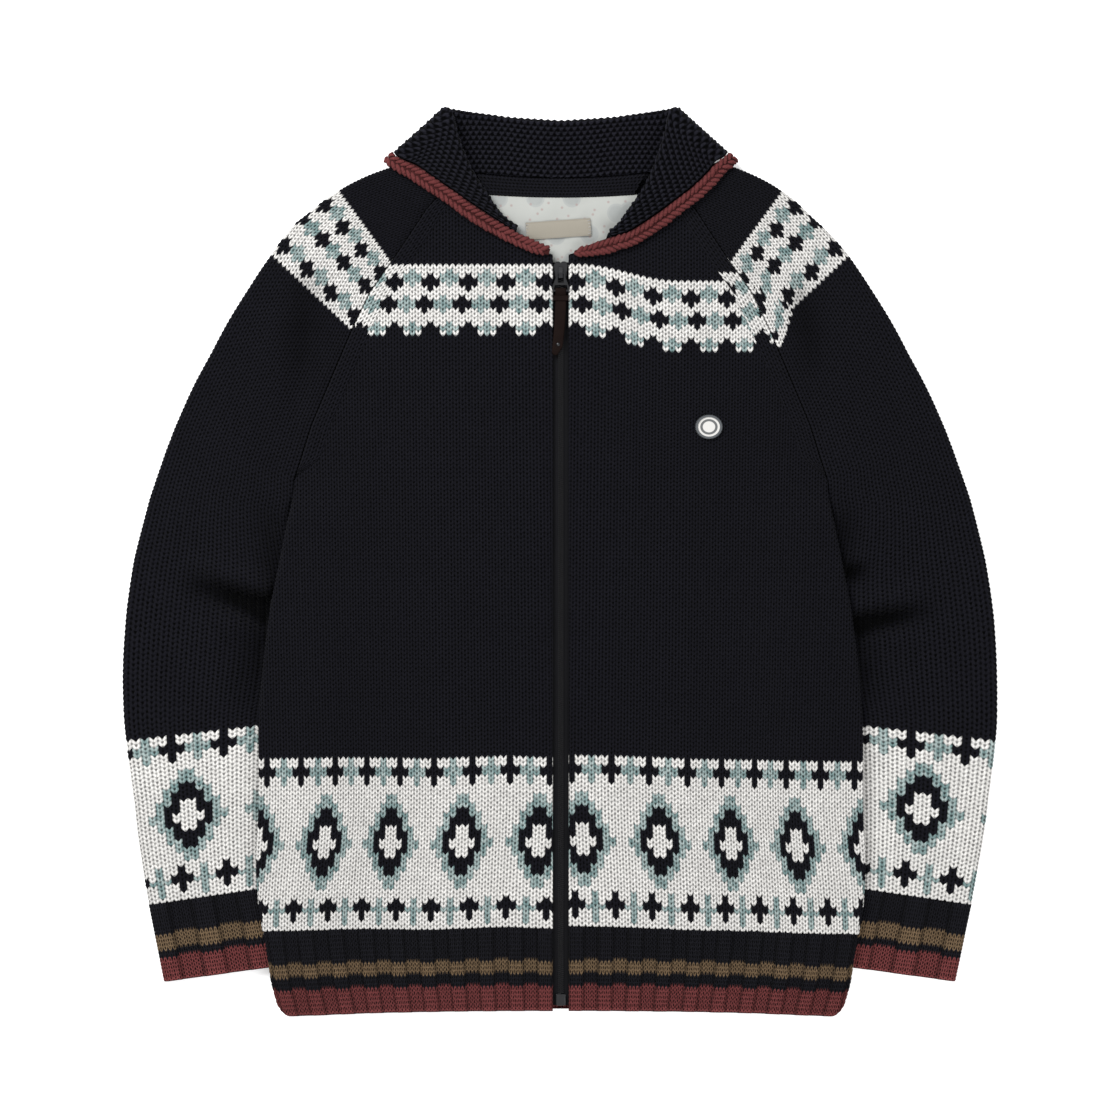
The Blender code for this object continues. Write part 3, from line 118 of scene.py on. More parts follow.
# the cuff's end: inner edge and outer fold
CUFF_BOTTOM = np.array((0.2220, -0.3310, 0.3213, -0.3446))
CUFF_WIDTH = 0.110
PUFF_FIRST_ROW, PUFF_FIRST_RUN, PUFF_LAST_RUN = 2.2, 1.8, 1.2
BODY_MARGIN, BODY_RUN, CREASE_TAPER, LEAST_THICK = 0.004, 0.030, 0.35, 0.0050
CREASE_MARGIN, CREASE_RUN = 0.001, 0.007
# |x| and level of the front's neck edge
NECKLINE = np.array([
    (0.0065, 0.2495), (0.0200, 0.2530), (0.0320, 0.2585), (0.0430, 0.2655), (0.0540, 0.2750),
    (0.0630, 0.2850), (0.0720, 0.2960), (0.0830, 0.3025),
])

# %% [markdown]
# ## Height of the surface
# Each function takes arrays, so that a whole piece is worked out at once. The body rises over the
# inner edges of the sleeves, the neck over the folded collar, and the upper layer is a little full.

# %% Outlines as functions


def smooth(share):
    """0 below 0, 1 above 1 and an S-curve between."""
    share = np.clip(share, 0.0, 1.0)
    return share * share * (3 - 2 * share)


def side_x(y):
    return np.interp(y, SIDES[:, 0], SIDES[:, 1])


def sleeve_inner_x(y):
    rows = SLEEVE[:UNDERARM_ROW - 1:-1]
    return np.interp(y, [CUFF_BOTTOM[1], *rows[:, 1]], [CUFF_BOTTOM[0], *rows[:, 0]])


def neckline_y(x):
    return np.interp(x, NECKLINE[:, 0], NECKLINE[:, 1])


def back_neck_y(x):
    return np.minimum(BACK_NECK_Y + BACK_NECK_RISE * (x / BACK_NECK_X) ** 2, SLEEVE[0, 5])


def bow(x):
    return EDGE_BOW * np.minimum(np.abs(x) / BOW_HALF_WIDTH, BOW_LIMIT) ** 2


def seam_x(y, layer=0):
    """The raglan seam on the top layer (0) or on the back (1)."""
    rows = SLEEVE[UNDERARM_ROW::-1]
    return np.interp(y, rows[:, 4 * layer + 1], rows[:, 4 * layer])


def edge_x(y, layer=0):
    return np.where(y <= UNDERARM_Y, side_x(y), seam_x(y, layer))


print("half width at the hem", round(float(side_x(WELT_BOTTOM_Y)), 3), "at the underarm", edge_x(UNDERARM_Y))

# %% Height functions


def side_lift(x, y):
    across = smooth((np.abs(x) - sleeve_inner_x(y) + LIFT_RUN) / (LIFT_RUN - LIFT_MARGIN))
    along = smooth((UNDERARM_Y - y) / LIFT_START)
    fade = 1 - LIFT_FADE_SHARE * smooth((LIFT_FADE_Y - y) / LIFT_FADE_RUN)
    return LIFT * across * along * fade


def neck_lift(x, y):
    fall_y = TRIM_BACK_Y + (TRIM_CORNER[1] - TRIM_BACK_Y) * (x / TRIM_CORNER[0]) ** 2
    return NECK_LIFT * smooth((y - fall_y + NECK_LIFT_RUN + NECK_LIFT_MARGIN) / NECK_LIFT_RUN)


def floor_of(x, y):
    """Lowest surface of the body."""
    return np.maximum(side_lift(x, y), neck_lift(x, y))


def fold_run(curl):
    """Length of cloth in a fold, which is round where curl is 1."""
    return FOLD * (1 + (math.pi / 2 - 1) * curl)


def fold_rise(angle):
    return SEAM / 2 + (FOLD - SEAM / 2) * np.cos(angle)


def soft_fold(share, curl):
    """How far a fold reaches out and how high it stands over its middle."""
    angle = math.pi / 2 * share
    reach = FOLD * ((1 - curl) * share + curl * np.sin(angle))
    return reach, (1 - curl) * FOLD + curl * fold_rise(angle)


def front_height(x, y):
    """Thickness of a front and the back under it."""
    x = np.abs(x)
    over_tape = ZIP_RISE * np.exp(-((np.maximum(x - ZIP_EDGE_X, 0) / ZIP_RISE_RUN) ** 2))
    inside = smooth(x / PUFF_RUN_ZIP) * smooth((edge_x(y) - x) / PUFF_RUN_SIDE)
    below_neck = 1 - smooth((y - PUFF_NECK_Y) / PUFF_NECK_RUN)
    uneven = 1 + UNEVEN_SHARE * np.sin(y / UNEVEN_Y) * np.cos(x / UNEVEN_X)
    return TUBE + over_tape + FRONT_PUFF * inside * below_neck * uneven


def top_surface(x, y):
    """The upper surface under the collar's fall."""
    return floor_of(x, y) + front_height(x, y)


print("front surface at the chest", round(float(top_surface(0.12, 0.1)), 4))

# %% [markdown]
# ## Creases
# A sleeve that is laid down with a bent elbow creases on its inner side: a sharp trough between two
# soft ridges. They are placed as lines in plan with a width and a height, and so are the softer
# hollows beside the body. A cloth simulation would put them somewhere else.

# %% Creases of the sleeves
# side (1 the wearer's left), start x and y, end x and y, half width, height
CREASES = [
    (-1, 0.2320, -0.0440, 0.3120, -0.0150, 0.0100, -0.0135),
    (-1, 0.2330, -0.0285, 0.3080, -0.0010, 0.0110, 0.0085),
    (-1, 0.2360, -0.0640, 0.3080, -0.0400, 0.0130, 0.0050),
    (-1, 0.2400, -0.0560, 0.2470, -0.1350, 0.0150, -0.0052),
    (-1, 0.2660, -0.0700, 0.2440, -0.1310, 0.0100, -0.0024),
    (-1, 0.2820, -0.0720, 0.2640, -0.1310, 0.0140, 0.0016),
    (1, 0.2340, -0.0550, 0.3110, -0.0410, 0.0080, -0.0125),
    (1, 0.2380, -0.0390, 0.3050, -0.0260, 0.0100, 0.0065),
    (1, 0.2400, -0.0720, 0.3100, -0.0600, 0.0130, 0.0050),
    (1, 0.2420, -0.0620, 0.2490, -0.1350, 0.0150, -0.0042),
    (1, 0.2280, -0.0125, 0.2560, -0.0090, 0.0065, -0.0080),
    (1, 0.2300, -0.0010, 0.2580, 0.0020, 0.0090, 0.0030),
]
# painted shade on the sleeves, where the cloth lies so deep that little light reaches it: the last number is
# the share of the colour darkened
PAINTED_CREASE_SHADE = [
    (-1, 0.2280, -0.0450, 0.3240, -0.0110, 0.0105, 0.96),
    (-1, 0.2380, -0.0540, 0.2470, -0.1350, 0.0190, 0.50),
    (-1, 0.2330, -0.0320, 0.2390, 0.0600, 0.0120, 0.45),
    (1, 0.2280, -0.0560, 0.3200, -0.0390, 0.0085, 0.92),
    (1, 0.2270, -0.0125, 0.2570, -0.0090, 0.0075, 0.75),
    (1, 0.2400, -0.0620, 0.2480, -0.1350, 0.0160, 0.40),
    (-1, 0.2100, 0.2200, 0.2190, 0.1200, 0.0160, 0.35),
    (1, 0.1960, 0.2130, 0.2080, 0.1400, 0.0120, 0.40),
    (1, 0.2290, -0.0010, 0.2330, 0.0600, 0.0110, 0.45),
]
# the folds beside the raglan seams
SHOULDER_FOLDS = [
    (-1, 0.2080, 0.1860, 0.2190, 0.0900, 0.0080, -0.0020),
    (-1, 0.2280, 0.1900, 0.2400, 0.0900, 0.0140, 0.0014),
    (1, 0.2120, 0.1760, 0.2240, 0.0850, 0.0080, -0.0018),
    (1, 0.2320, 0.1800, 0.2440, 0.0850, 0.0140, 0.0014),
]


print("creases", len(CREASES), "deep places", len(PAINTED_CREASE_SHADE), "folds at the shoulders", len(SHOULDER_FOLDS))

# %% Height of a sleeve


def crease_height(side, x, y, creases):
    """Sum of the creases of one side: each is a soft ridge or trough along its line."""
    height = np.zeros(np.shape(x))
    for crease_side, x0, y0, x1, y1, half_width, rise in creases:
        if crease_side != side:
            continue
        run_x, run_y = x1 - x0, y1 - y0
        share = ((x - x0) * run_x + (y - y0) * run_y) / (run_x**2 + run_y**2)
        nearest = np.clip(share, 0, 1)
        distance = np.hypot(x - x0 - nearest * run_x, y - y0 - nearest * run_y)
        taper = 1 - smooth((share - CREASE_TAPER) / (1 - CREASE_TAPER))
        height += rise * taper * np.exp(-((distance / half_width) ** 2))
    return height


def sleeve_height(side, share, place, x, y):
    """Height of a sleeve's upper surface, where share runs from its inner edge to its outer fold."""
    full = smooth((place - PUFF_FIRST_ROW) / PUFF_FIRST_RUN) * smooth((LAST_ROW - place) / PUFF_LAST_RUN)
    lower = place > UNDERARM_ROW
    under_body = np.where(lower, smooth((x - side_x(y) - BODY_MARGIN) / BODY_RUN), 1.0)
    puff = SLEEVE_PUFF * np.sin(math.pi * share) ** 2 * full * under_body
    beside_body = smooth((x - side_x(y) + CREASE_MARGIN) / CREASE_RUN)
    creases = np.where(lower, crease_height(side, x, y, CREASES) * beside_body, 0)
    folds = crease_height(side, x, y, SHOULDER_FOLDS) * full
    return np.maximum(TUBE + puff + creases + folds, LEAST_THICK)

# %% [markdown]
# ## The rows of a sleeve
# Between the rows of the table the sleeve's outline is a smooth curve, except along the raglan seam,
# where it is straight. The table is filled in once in fine steps, and read from then on.

# %% Fine rows
FINE_PLACES = np.linspace(0, LAST_ROW, 50 * LAST_ROW + 1)


def eased(share, start, leaving, end, arriving):
    """A cubic curve from start to end with the given slopes there."""
    return (
        (2 * share**3 - 3 * share**2 + 1) * start
        + (share**3 - 2 * share**2 + share) * leaving
        + (3 * share**2 - 2 * share**3) * end
        + (share**3 - share**2) * arriving
    )


def fine_rows():
    """The sleeve's outline in fine steps."""
    index = np.minimum(FINE_PLACES.astype(int), LAST_ROW - 1)
    share = (FINE_PLACES - index)[:, None]
    before, start = SLEEVE[np.maximum(index - 1, 0)], SLEEVE[index]
    end, after = SLEEVE[index + 1], SLEEVE[np.minimum(index + 2, LAST_ROW)]
    rows = eased(share, start, (end - before) / 2, end, (after - start) / 2)
    straight = start + (end - start) * share
    raglan = FINE_PLACES < UNDERARM_ROW
    for column in (0, 1, 4, 5):
        rows[raglan, column] = straight[raglan, column]
    under = (FINE_PLACES >= UNDERARM_ROW) & (FINE_PLACES < UNDERARM_ROW + 1)
    rows[under, 0] = rows[under, 4] = side_x(rows[under, 1])
    return rows


OUTLINE = fine_rows()


def sleeve_row(place):
    """Inner, outer and back points of the sleeve's outline at each place."""
    return [np.interp(place, FINE_PLACES, OUTLINE[:, column]) for column in range(6)]


middle_line = (OUTLINE[:, 0:2] + OUTLINE[:, 2:4]) / 2
steps = np.linalg.norm(np.diff(middle_line, axis=0), axis=1)
SLEEVE_RUN = np.concatenate([[0], np.cumsum(steps)])
print("sleeve length along its middle", round(float(SLEEVE_RUN[-1]), 3))

# %% [markdown]
# ## Nodes in a few words
# Materials and Geometry Nodes trees are both nets of nodes. `Board.add` puts any node on a board: its
# settings first, then the values or links of its sockets. A `Wire` is one output, and sums written
# with it in Python, such as `1 - mask`, become Math nodes.

# %% Wires


def maths(operation, swapped=False):
    """A method that puts a Math node: the wire is its first value, or its second where swapped."""

    def method(wire, other=0):
        first, second = (other, wire) if swapped else (wire, other)
        return wire.board.add("ShaderNodeMath", {"operation": operation}, {0: first, 1: second})

    return method


class Wire:
    """An output socket that can be used in sums."""

    __add__ = __radd__ = maths("ADD")
    __sub__, __rsub__ = maths("SUBTRACT"), maths("SUBTRACT", swapped=True)
    __mul__ = __rmul__ = maths("MULTIPLY")
    __truediv__, __rtruediv__ = maths("DIVIDE"), maths("DIVIDE", swapped=True)
    __pow__ = maths("POWER")
    wrapped, sine, size = maths("FRACT"), maths("SINE"), maths("ABSOLUTE")
    least, most = maths("MINIMUM"), maths("MAXIMUM")

    def __init__(self, board, socket):
        self.board, self.socket = board, socket

    def ramp(self, low, high):
        """0 at low, 1 at high and a smooth step between."""
        settings = {"interpolation_type": "SMOOTHSTEP"}
        return self.board.add("ShaderNodeMapRange", settings, {0: self, 1: low, 2: high})

# %% Boards


class Board:
    """A net of nodes."""

    def __init__(self, tree):
        self.tree = tree

    def add(self, kind, settings=None, values=None, out=0):
        made = self.tree.nodes.new(kind)
        for key, value in (settings or {}).items():
            setattr(made, key, value)
        for key, value in (values or {}).items():
            if isinstance(value, Wire):
                self.tree.links.new(value.socket, made.inputs[key])
            else:
                made.inputs[key].default_value = value
        return Wire(self, made.outputs[out])

# %% Finishes


class Finish(Board):
    """A material, with its shader's sockets set by name at the end."""

    def __init__(self, name):
        self.material = bpy.data.materials.new(name)
        self.material.use_nodes = True
        super().__init__(self.material.node_tree)
        self.shader = self.tree.nodes["Principled BSDF"]

    def attribute(self, name, out="Color"):
        return self.add("ShaderNodeAttribute", {"attribute_name": name}, out=out)

    def place(self):
        return self.add("ShaderNodeTexCoord", out="Object")

    def noise(self, scale, detail=2.0, rough=0.5):
        values = {"Vector": self.place(), "Scale": scale, "Detail": detail, "Roughness": rough}
        return self.add("ShaderNodeTexNoise", None, values)

    def mix(self, factor, first, second, blend="MIX"):
        settings = {"data_type": "RGBA", "blend_type": blend}
        return self.add("ShaderNodeMix", settings, {0: factor, 6: first, 7: second}, 2)

    def split(self, vector):
        return [self.add("ShaderNodeSeparateXYZ", None, {0: vector}, out) for out in range(3)]

    def bump(self, height, distance, strength=1.0, under=None):
        values = {"Height": height, "Distance": distance, "Strength": strength}
        if under:
            values["Normal"] = under
        return self.add("ShaderNodeBump", None, values)

    def set(self, **sockets):
        for name, value in sockets.items():
            socket = self.shader.inputs[name.replace("_", " ")]
            if isinstance(value, Wire):
                self.tree.links.new(value.socket, socket)
            else:
                socket.default_value = value
        return self.material

# %% [markdown]
# ## Yarn
# Thick wool yarn is never one colour: each strand carries lighter and darker fibres, and the gaps
# between strands are painted dark, as shade. The colour of each stitch comes from an attribute of its
# faces, the fine roundness of each strand from its place in the stitch, kept as a UV map, and the fuzz
# from noise. Sheen stands for the fibres that stick out.

# %% Colours of the yarn
NAVY, WHITE, SAGE = (0.0078, 0.0078, 0.0112), (0.80, 0.785, 0.76), (0.315, 0.41, 0.40)
BROWN, BURGUNDY = (0.205, 0.138, 0.080), (0.215, 0.056, 0.056)
RIB_NAVY = (0.0115, 0.0115, 0.0155)
PALETTE = np.array([(*colour, 1.0) for colour in (NAVY, WHITE, SAGE, BROWN, BURGUNDY, RIB_NAVY)])
SAGE_DARK, SAGE_PALE = np.array([0.18, 0.275, 0.275, 1]), np.array([0.44, 0.52, 0.51, 1])
print("colours in the palette", len(PALETTE))

# %% Yarn materials


def finish_yarn(paint, colour, openness, height, depth):
    """Yarn from its colour, how open the gap is there, which is painted as shade, and the height of its
    strands.
    """
    heather = (paint.noise(900, 2, 0.7) - 0.5) * 1.5 + 0.5
    patches = paint.noise(38, 2, 0.5)
    fuzz = paint.noise(3200, 3, 0.75)
    pale = paint.add("ShaderNodeSeparateColor", None, {0: colour}, 1)
    # painted shade: the colour is darkened where the gap between strands is open; heather and patches vary
    # the tone at random
    shade = (1 - openness * (0.96 - 0.30 * pale)) * (0.66 + 0.68 * heather) * (0.90 + 0.20 * patches)
    grey = paint.add("ShaderNodeCombineColor", None, {0: shade, 1: shade, 2: shade})
    tint = paint.mix(1.0, colour, grey, "MULTIPLY")
    fibre = ((fuzz - 0.62).most(0) * 0.5).least(0.05) * (1 - openness)
    tint = paint.mix(fibre, tint, (0.30, 0.31, 0.35, 1))
    return paint.set(
        Base_Color=tint, Roughness=0.95, Normal=paint.bump(height + 0.20 * fuzz, depth, 1.0),
        Sheen_Weight=0.02, Sheen_Roughness=0.5, Specular_IOR_Level=0.03,
    )


def hole(across, along, half_width, half_height):
    """1 in a gap between strands and 0 beyond it, for signed distances from its middle."""
    reach = (across / half_width) ** 2 + (along / half_height) ** 2
    return 1 - reach.ramp(0.10, 1.30)


def signed(value):
    """From -0.5 to 0.5, 0 at each whole number."""
    return (value + 0.5).wrapped() - 0.5


def yarn(name, rise=0.09, wide=1.0):
    """Stocking stitch in the colours of the piece's own attribute: a hole in each V and beside it, painted in
    shade.
    """
    paint = Finish(name)
    colour = paint.attribute("yarn")
    across, along, _ = paint.split(paint.add("ShaderNodeUVMap", {"uv_map": "stitch"}))
    uneven = (paint.noise(210, 1, 0.5) - 0.5) * 2.4
    inside = hole((across.wrapped() - 0.5), signed(along - rise + 0.12 * uneven), 0.18 * wide, 0.36 * wide)
    inside = inside * (0.92 + 0.5 * uneven)
    beside = hole(signed(across), signed(along + rise - 0.12 * uneven), 0.17 * wide, 0.36 * wide)
    beside = beside * (0.92 - 0.5 * uneven)
    # painted shade along the grooves between the legs as well
    line = (1 - signed(across * 2).size() / 0.26).most(0) * 0.42
    openness = inside.most(beside).most(line).least(1)
    strand = 1 - ((along.wrapped() * 2 - 1).size()) ** 2.4
    plies = ((along * 2.0 + signed(across * 2.0).size() * 3.0) * 14.0).sine()
    height = strand * 0.7 + (1 - openness) * 0.7 + 0.06 * plies
    return finish_yarn(paint, colour, openness, height, 0.0011)


def plain_yarn(name, light=1.0):
    """Strands modelled one by one: painted shade only where they lie low."""
    paint = Finish(name)
    leg = paint.attribute("leg", "Fac")
    openness = 1 - leg.ramp(0.05, 0.60)
    turn = paint.split(paint.add("ShaderNodeUVMap", {"uv_map": "stitch"}))
    plies = ((turn[0] * 2.0 + turn[1] * 6.0) * 3.14159).sine()
    colour = paint.mix(1.0, paint.attribute("yarn"), (light, light, light, 1), "MULTIPLY")
    return finish_yarn(paint, colour, openness, leg * 0.4 + 0.18 * plies, 0.0007)


knit_yarn = yarn("wool stocking stitch")
rib_yarn = yarn("wool rib", -0.05, 1.25)
garter_yarn = plain_yarn("wool garter stitch", 1.5)
trim_yarn = plain_yarn("burgundy wool", 0.47)
tape_yarn = yarn("cotton neck tape")
print("yarns", [m.name for m in bpy.data.materials if "wool" in m.name])

# %% [markdown]
# ## Relief of the stitches
# Each knitted piece starts as a net of points whose lines already run along the strands, so a change
# of colour has the edge of real stitches. A Geometry Nodes tree then lifts the strands along the
# normal, with a little unevenness, and gives the piece its yarn. The same tree serves every piece,
# and its inputs set how deep the stitches are.

# %% How a tree begins and ends


def new_tree(name, inputs):
    """A Geometry Nodes tree with named inputs, its board and the wires of its inputs."""
    tree = bpy.data.node_groups.new(name, "GeometryNodeTree")
    tree.interface.new_socket("Geometry", in_out="OUTPUT", socket_type="NodeSocketGeometry")
    tree.interface.new_socket("Geometry", in_out="INPUT", socket_type="NodeSocketGeometry")
    for title, kind in inputs:
        tree.interface.new_socket(title, in_out="INPUT", socket_type="NodeSocket" + kind)
    board = Board(tree)
    start = tree.nodes.new("NodeGroupInput")
    wires = {socket.name: Wire(board, socket) for socket in start.outputs if socket.name}
    return tree, board, wires


def close_tree(board, geometry, material):
    """Ends a tree: instances made real, then the material."""
    real = board.add("GeometryNodeRealizeInstances", None, {"Geometry": geometry})
    done = board.add("GeometryNodeSetMaterial", None, {"Geometry": real, "Material": material})
    end = board.tree.nodes.new("NodeGroupOutput")
    board.tree.links.new(done.socket, end.inputs[0])

# %% The relief tree


def relief_tree():
    tree, board, wires = new_tree("stitch relief", [
        ("Stitch Depth", "Float"), ("Level", "Float"), ("Unevenness", "Float"),
        ("Patch Size", "Float"), ("Seed", "Float"), ("Yarn", "Material"),
    ])
    leg = board.add("GeometryNodeInputNamedAttribute", {"data_type": "FLOAT"}, {"Name": "leg"})
    noise = board.add(
        "ShaderNodeTexNoise", {"noise_dimensions": "4D"},
        {"W": wires["Seed"], "Scale": 1 / wires["Patch Size"], "Detail": 1.0},
    )
    lift = (leg - wires["Level"]) * wires["Stitch Depth"] + (noise - 0.5) * wires["Unevenness"]
    normal = board.add("GeometryNodeInputNormal")
    offset = board.add("ShaderNodeVectorMath", {"operation": "SCALE"}, {0: normal, "Scale": lift})
    moved = board.add("GeometryNodeSetPosition", None, {"Geometry": wires["Geometry"], "Offset": offset})
    close_tree(board, moved, wires["Yarn"])
    return tree


RELIEF = relief_tree()
print("nodes in the relief tree", len(RELIEF.nodes))

# %% Running a tree
UNDER_Z = 0.0002


def press_flat(mesh):
    """Keeps what lies underneath flat, just above the surface."""
    places = np.empty(3 * len(mesh.vertices), np.float32)
    mesh.vertices.foreach_get("co", places)
    places[2::3] = np.maximum(places[2::3], UNDER_Z)
    mesh.vertices.foreach_set("co", places)


def grown(piece, tree, settings):
    """Runs a tree on a piece, keeps the result as its plain mesh and removes the modifier."""
    modifier = piece.modifiers.new(tree.name, "NODES")
    modifier.node_group = tree
    sockets = {item.name: item.identifier for item in tree.interface.items_tree if item.in_out == "INPUT"}
    for title, value in settings.items():
        modifier[sockets[title]] = value
    bpy.context.view_layer.update()
    graph = bpy.context.evaluated_depsgraph_get()
    mesh = bpy.data.meshes.new_from_object(piece.evaluated_get(graph), depsgraph=graph)
    press_flat(mesh)
    piece.modifiers.remove(modifier)
    old, piece.data = piece.data, mesh
    bpy.data.meshes.remove(old)
    mesh.name = piece.name
    return piece

# %% [markdown]
# ## A net of stitches
# In stocking stitch every stitch is a V with a round foot. Its two legs rise steeply from the middle
# of the wale to its edges, by almost a row's height, and holes show inside each V and between the
# wales. The net has five columns of points to a wale and two rows to a course, and each point is moved
# up or down by where it is in its wale. `leg` says how high the strand is there.

# %% Nets of stitches
FINE, COARSE = (0, 0.24, 0.42, 0.58, 0.76), (0, 0.5)
FOOT = (0, 0.24, 0.42, 0.58, 0.76, 1.0)
SHIFT = (0.36, 0.03, -0.32, -0.32, 0.03, 0.36)
RIDGE = (0.55, 1.00, 0.85, 0.85, 1.00, 0.55)
VALLEY = (0.05, 0.55, 0.15, 0.15, 0.55, 0.05)


def columns_of(first, last, offsets):
    """Columns of points from one wale's edge to another's."""
    return np.append(np.add.outer(np.arange(first, last), offsets).ravel(), last)


def stitch_net(columns, rows):
    """Places in the net: the wale, the course, and the course that the point is moved to."""
    u, v = np.meshgrid(columns, np.arange(2 * rows + 1) / 2)
    return u, v, v + np.interp(u % 1, FOOT, SHIFT)


def ridge_of(v):
    """1 in the middle of each row and 0 between rows."""
    return 1 - np.abs(2 * (v % 1) - 1)


def strand_height(u, v):
    ridge = ridge_of(v)
    return np.interp(u % 1, FOOT, VALLEY) * (1 - ridge) + np.interp(u % 1, FOOT, RIDGE) * ridge


def chart_place(u, v):
    """Wale and row of each cell of the net."""
    wale, row = (u[:-1, :-1] + u[1:, 1:]) / 2, (v[:-1, :-1] + v[1:, 1:]) / 2
    return np.floor(wale).astype(int), np.floor(row).astype(int)


def uneven_tone(wale, row):
    """A different number from 0 to 1 for each stitch."""
    return np.abs(np.sin(wale * 12.9898 + row * 78.233) * 43758.5453) % 1


print("points across a wale", len(FINE), "on top and", len(COARSE), "underneath")

# %% From a net to a mesh


def quad_mesh(name, points, kept, uv, colours, leg, flip, shade=None):
    """A mesh of the kept quads of a grid of points, with its stitch map, colours and heights."""
    rows, columns = points.shape[:2]
    index = np.arange(rows * columns).reshape(rows, columns)
    corners = [index[:-1, :-1], index[:-1, 1:], index[1:, 1:], index[1:, :-1]]
    quads = np.stack(corners, axis=-1)[kept]
    middle = (uv[:-1, :-1] + uv[1:, 1:])[kept] / 2
    tone = uneven_tone(np.floor(2 * middle[:, 0] + 0.5), np.floor(middle[:, 1]))[:, None]
    shades = PALETTE[colours[kept]]
    marl = (colours[kept] == 2)[:, None]
    shades = np.where(marl, SAGE_DARK + (SAGE_PALE - SAGE_DARK) * tone, shades * (0.94 + 0.12 * tone))
    # painted light and shade: where a shade is given, each face's colour is scaled by it
    if shade is not None:
        shades[:, :3] *= shade[:-1, :-1][kept][:, None]
    if flip:
        quads = quads[:, ::-1]
    used, quads = np.unique(quads, return_inverse=True)
    quads = quads.reshape(-1, 4)
    mesh = bpy.data.meshes.new(name)
    mesh.vertices.add(len(used))
    mesh.vertices.foreach_set("co", points.reshape(-1, 3)[used].astype(np.float32).ravel())
    mesh.loops.add(quads.size)
    mesh.loops.foreach_set("vertex_index", quads.astype(np.int32).ravel())
    mesh.polygons.add(len(quads))
    mesh.polygons.foreach_set("loop_start", np.arange(0, quads.size, 4, dtype=np.int32))
    mesh.update(calc_edges=True)
    layer = mesh.uv_layers.new(name="stitch")
    layer.uv.foreach_set("vector", uv.reshape(-1, 2)[used][quads.ravel()].astype(np.float32).ravel())
    yarns = mesh.color_attributes.new("yarn", "FLOAT_COLOR", "CORNER")
    yarns.data.foreach_set("color", np.repeat(shades, 4, axis=0).astype(np.float32).ravel())
    height = mesh.attributes.new("leg", "FLOAT", "POINT")
    height.data.foreach_set("value", leg.reshape(-1)[used].astype(np.float32))
    mesh.shade_smooth()
    return mesh

# %% Pieces from meshes


def add_piece(name, mesh, *materials):
    piece = bpy.data.objects.new(name, mesh)
    bpy.context.scene.collection.objects.link(piece)
    for material in materials:
        mesh.materials.append(material)
    return piece


def cleaned(mesh, weld=False, fill=False):
    """Turns a mesh's faces outward, after welding its doubled points and closing its holes."""
    shell = bmesh.new()
    shell.from_mesh(mesh)
    if weld:
        bmesh.ops.remove_doubles(shell, verts=shell.verts, dist=1e-6)
    if fill:
        bmesh.ops.holes_fill(shell, edges=[edge for edge in shell.edges if edge.is_boundary])
    bmesh.ops.recalc_face_normals(shell, faces=shell.faces)
    shell.to_mesh(mesh)
    shell.free()
    return mesh


def joined(name, pieces):
    """One object of several."""
    shell = bmesh.new()
    for piece in pieces:
        shell.from_mesh(piece.data)
    materials = list(pieces[0].data.materials)
    mesh = bpy.data.meshes.new(name)
    shell.to_mesh(mesh)
    shell.free()
    for piece in pieces:
        bpy.data.objects.remove(piece)
    return add_piece(name, mesh, *materials)

# %% [markdown]
# ## The charts
# Cowichan knitting is charted on squared paper: small crosses in rows, and a row of diamonds in the
# deep band above the welt. Each chart is a rule on the number of the wale and the row, so it repeats
# as the knitter repeats it. Colours are places in the palette: 0 navy, 1 white, 2 sage, 3 brown,
# 4 burgundy and 5 the navy of the ribs.

# %% Charts of the bands
BAND_ROWS, YOKE_ROWS, SLEEVE_YOKE_ROWS = 38, 16, 19
DIAMOND_ROW = 19
# lowest and highest row of each colour, from the diamond's middle row, by distance from its middle
DIAMOND_SAGE = ((-10, 10), (-8, 8), (-6, 6), (-3, 3), (-1, 0))
DIAMOND_NAVY = ((-7, 7), (-5, 5), (-2, 2))
DIAMOND_WHITE = ((-3, 3), (-1, 0))


def crosses(chart, wale, row, column, navy_rows, navy_arm, sage_rows, sage_arm):
    """Navy crosses at each sixth wale from the given one, and sage ones between them."""
    turn = (wale - column) % 6
    beside, far = (turn == 1) | (turn == 5), (turn == 2) | (turn == 4)
    for where, (low, high), colour in (
        (turn == 3, sage_rows, 2), (far, sage_arm, 2), (turn == 0, navy_rows, 0), (beside, navy_arm, 0),
    ):
        chart[where & (row >= low) & (row <= high)] = colour


def band_chart(wale, row, cross_wale, diamond_at, top, diamond_row=DIAMOND_ROW):
    """The deep band. A diamond's middle is between two wales, every twelve wales."""
    chart = np.ones(wale.shape, int)
    crosses(chart, wale, row, cross_wale, (2, top), (4, 5), (1, top), (4, 4))
    crosses(chart, wale, row, cross_wale, (32, BAND_ROWS), (34, 35), (32, BAND_ROWS), (34, 35))
    away = (wale - diamond_at + 6) % 12 - 6
    step = np.where(away >= 0, away, -away - 1)
    up = row - diamond_row
    for spans, colour in ((DIAMOND_SAGE, 2), (DIAMOND_NAVY, 0), (DIAMOND_WHITE, 1)):
        for distance, (low, high) in enumerate(spans):
            chart[(step == distance) & (up >= low) & (up <= high)] = colour
    return chart


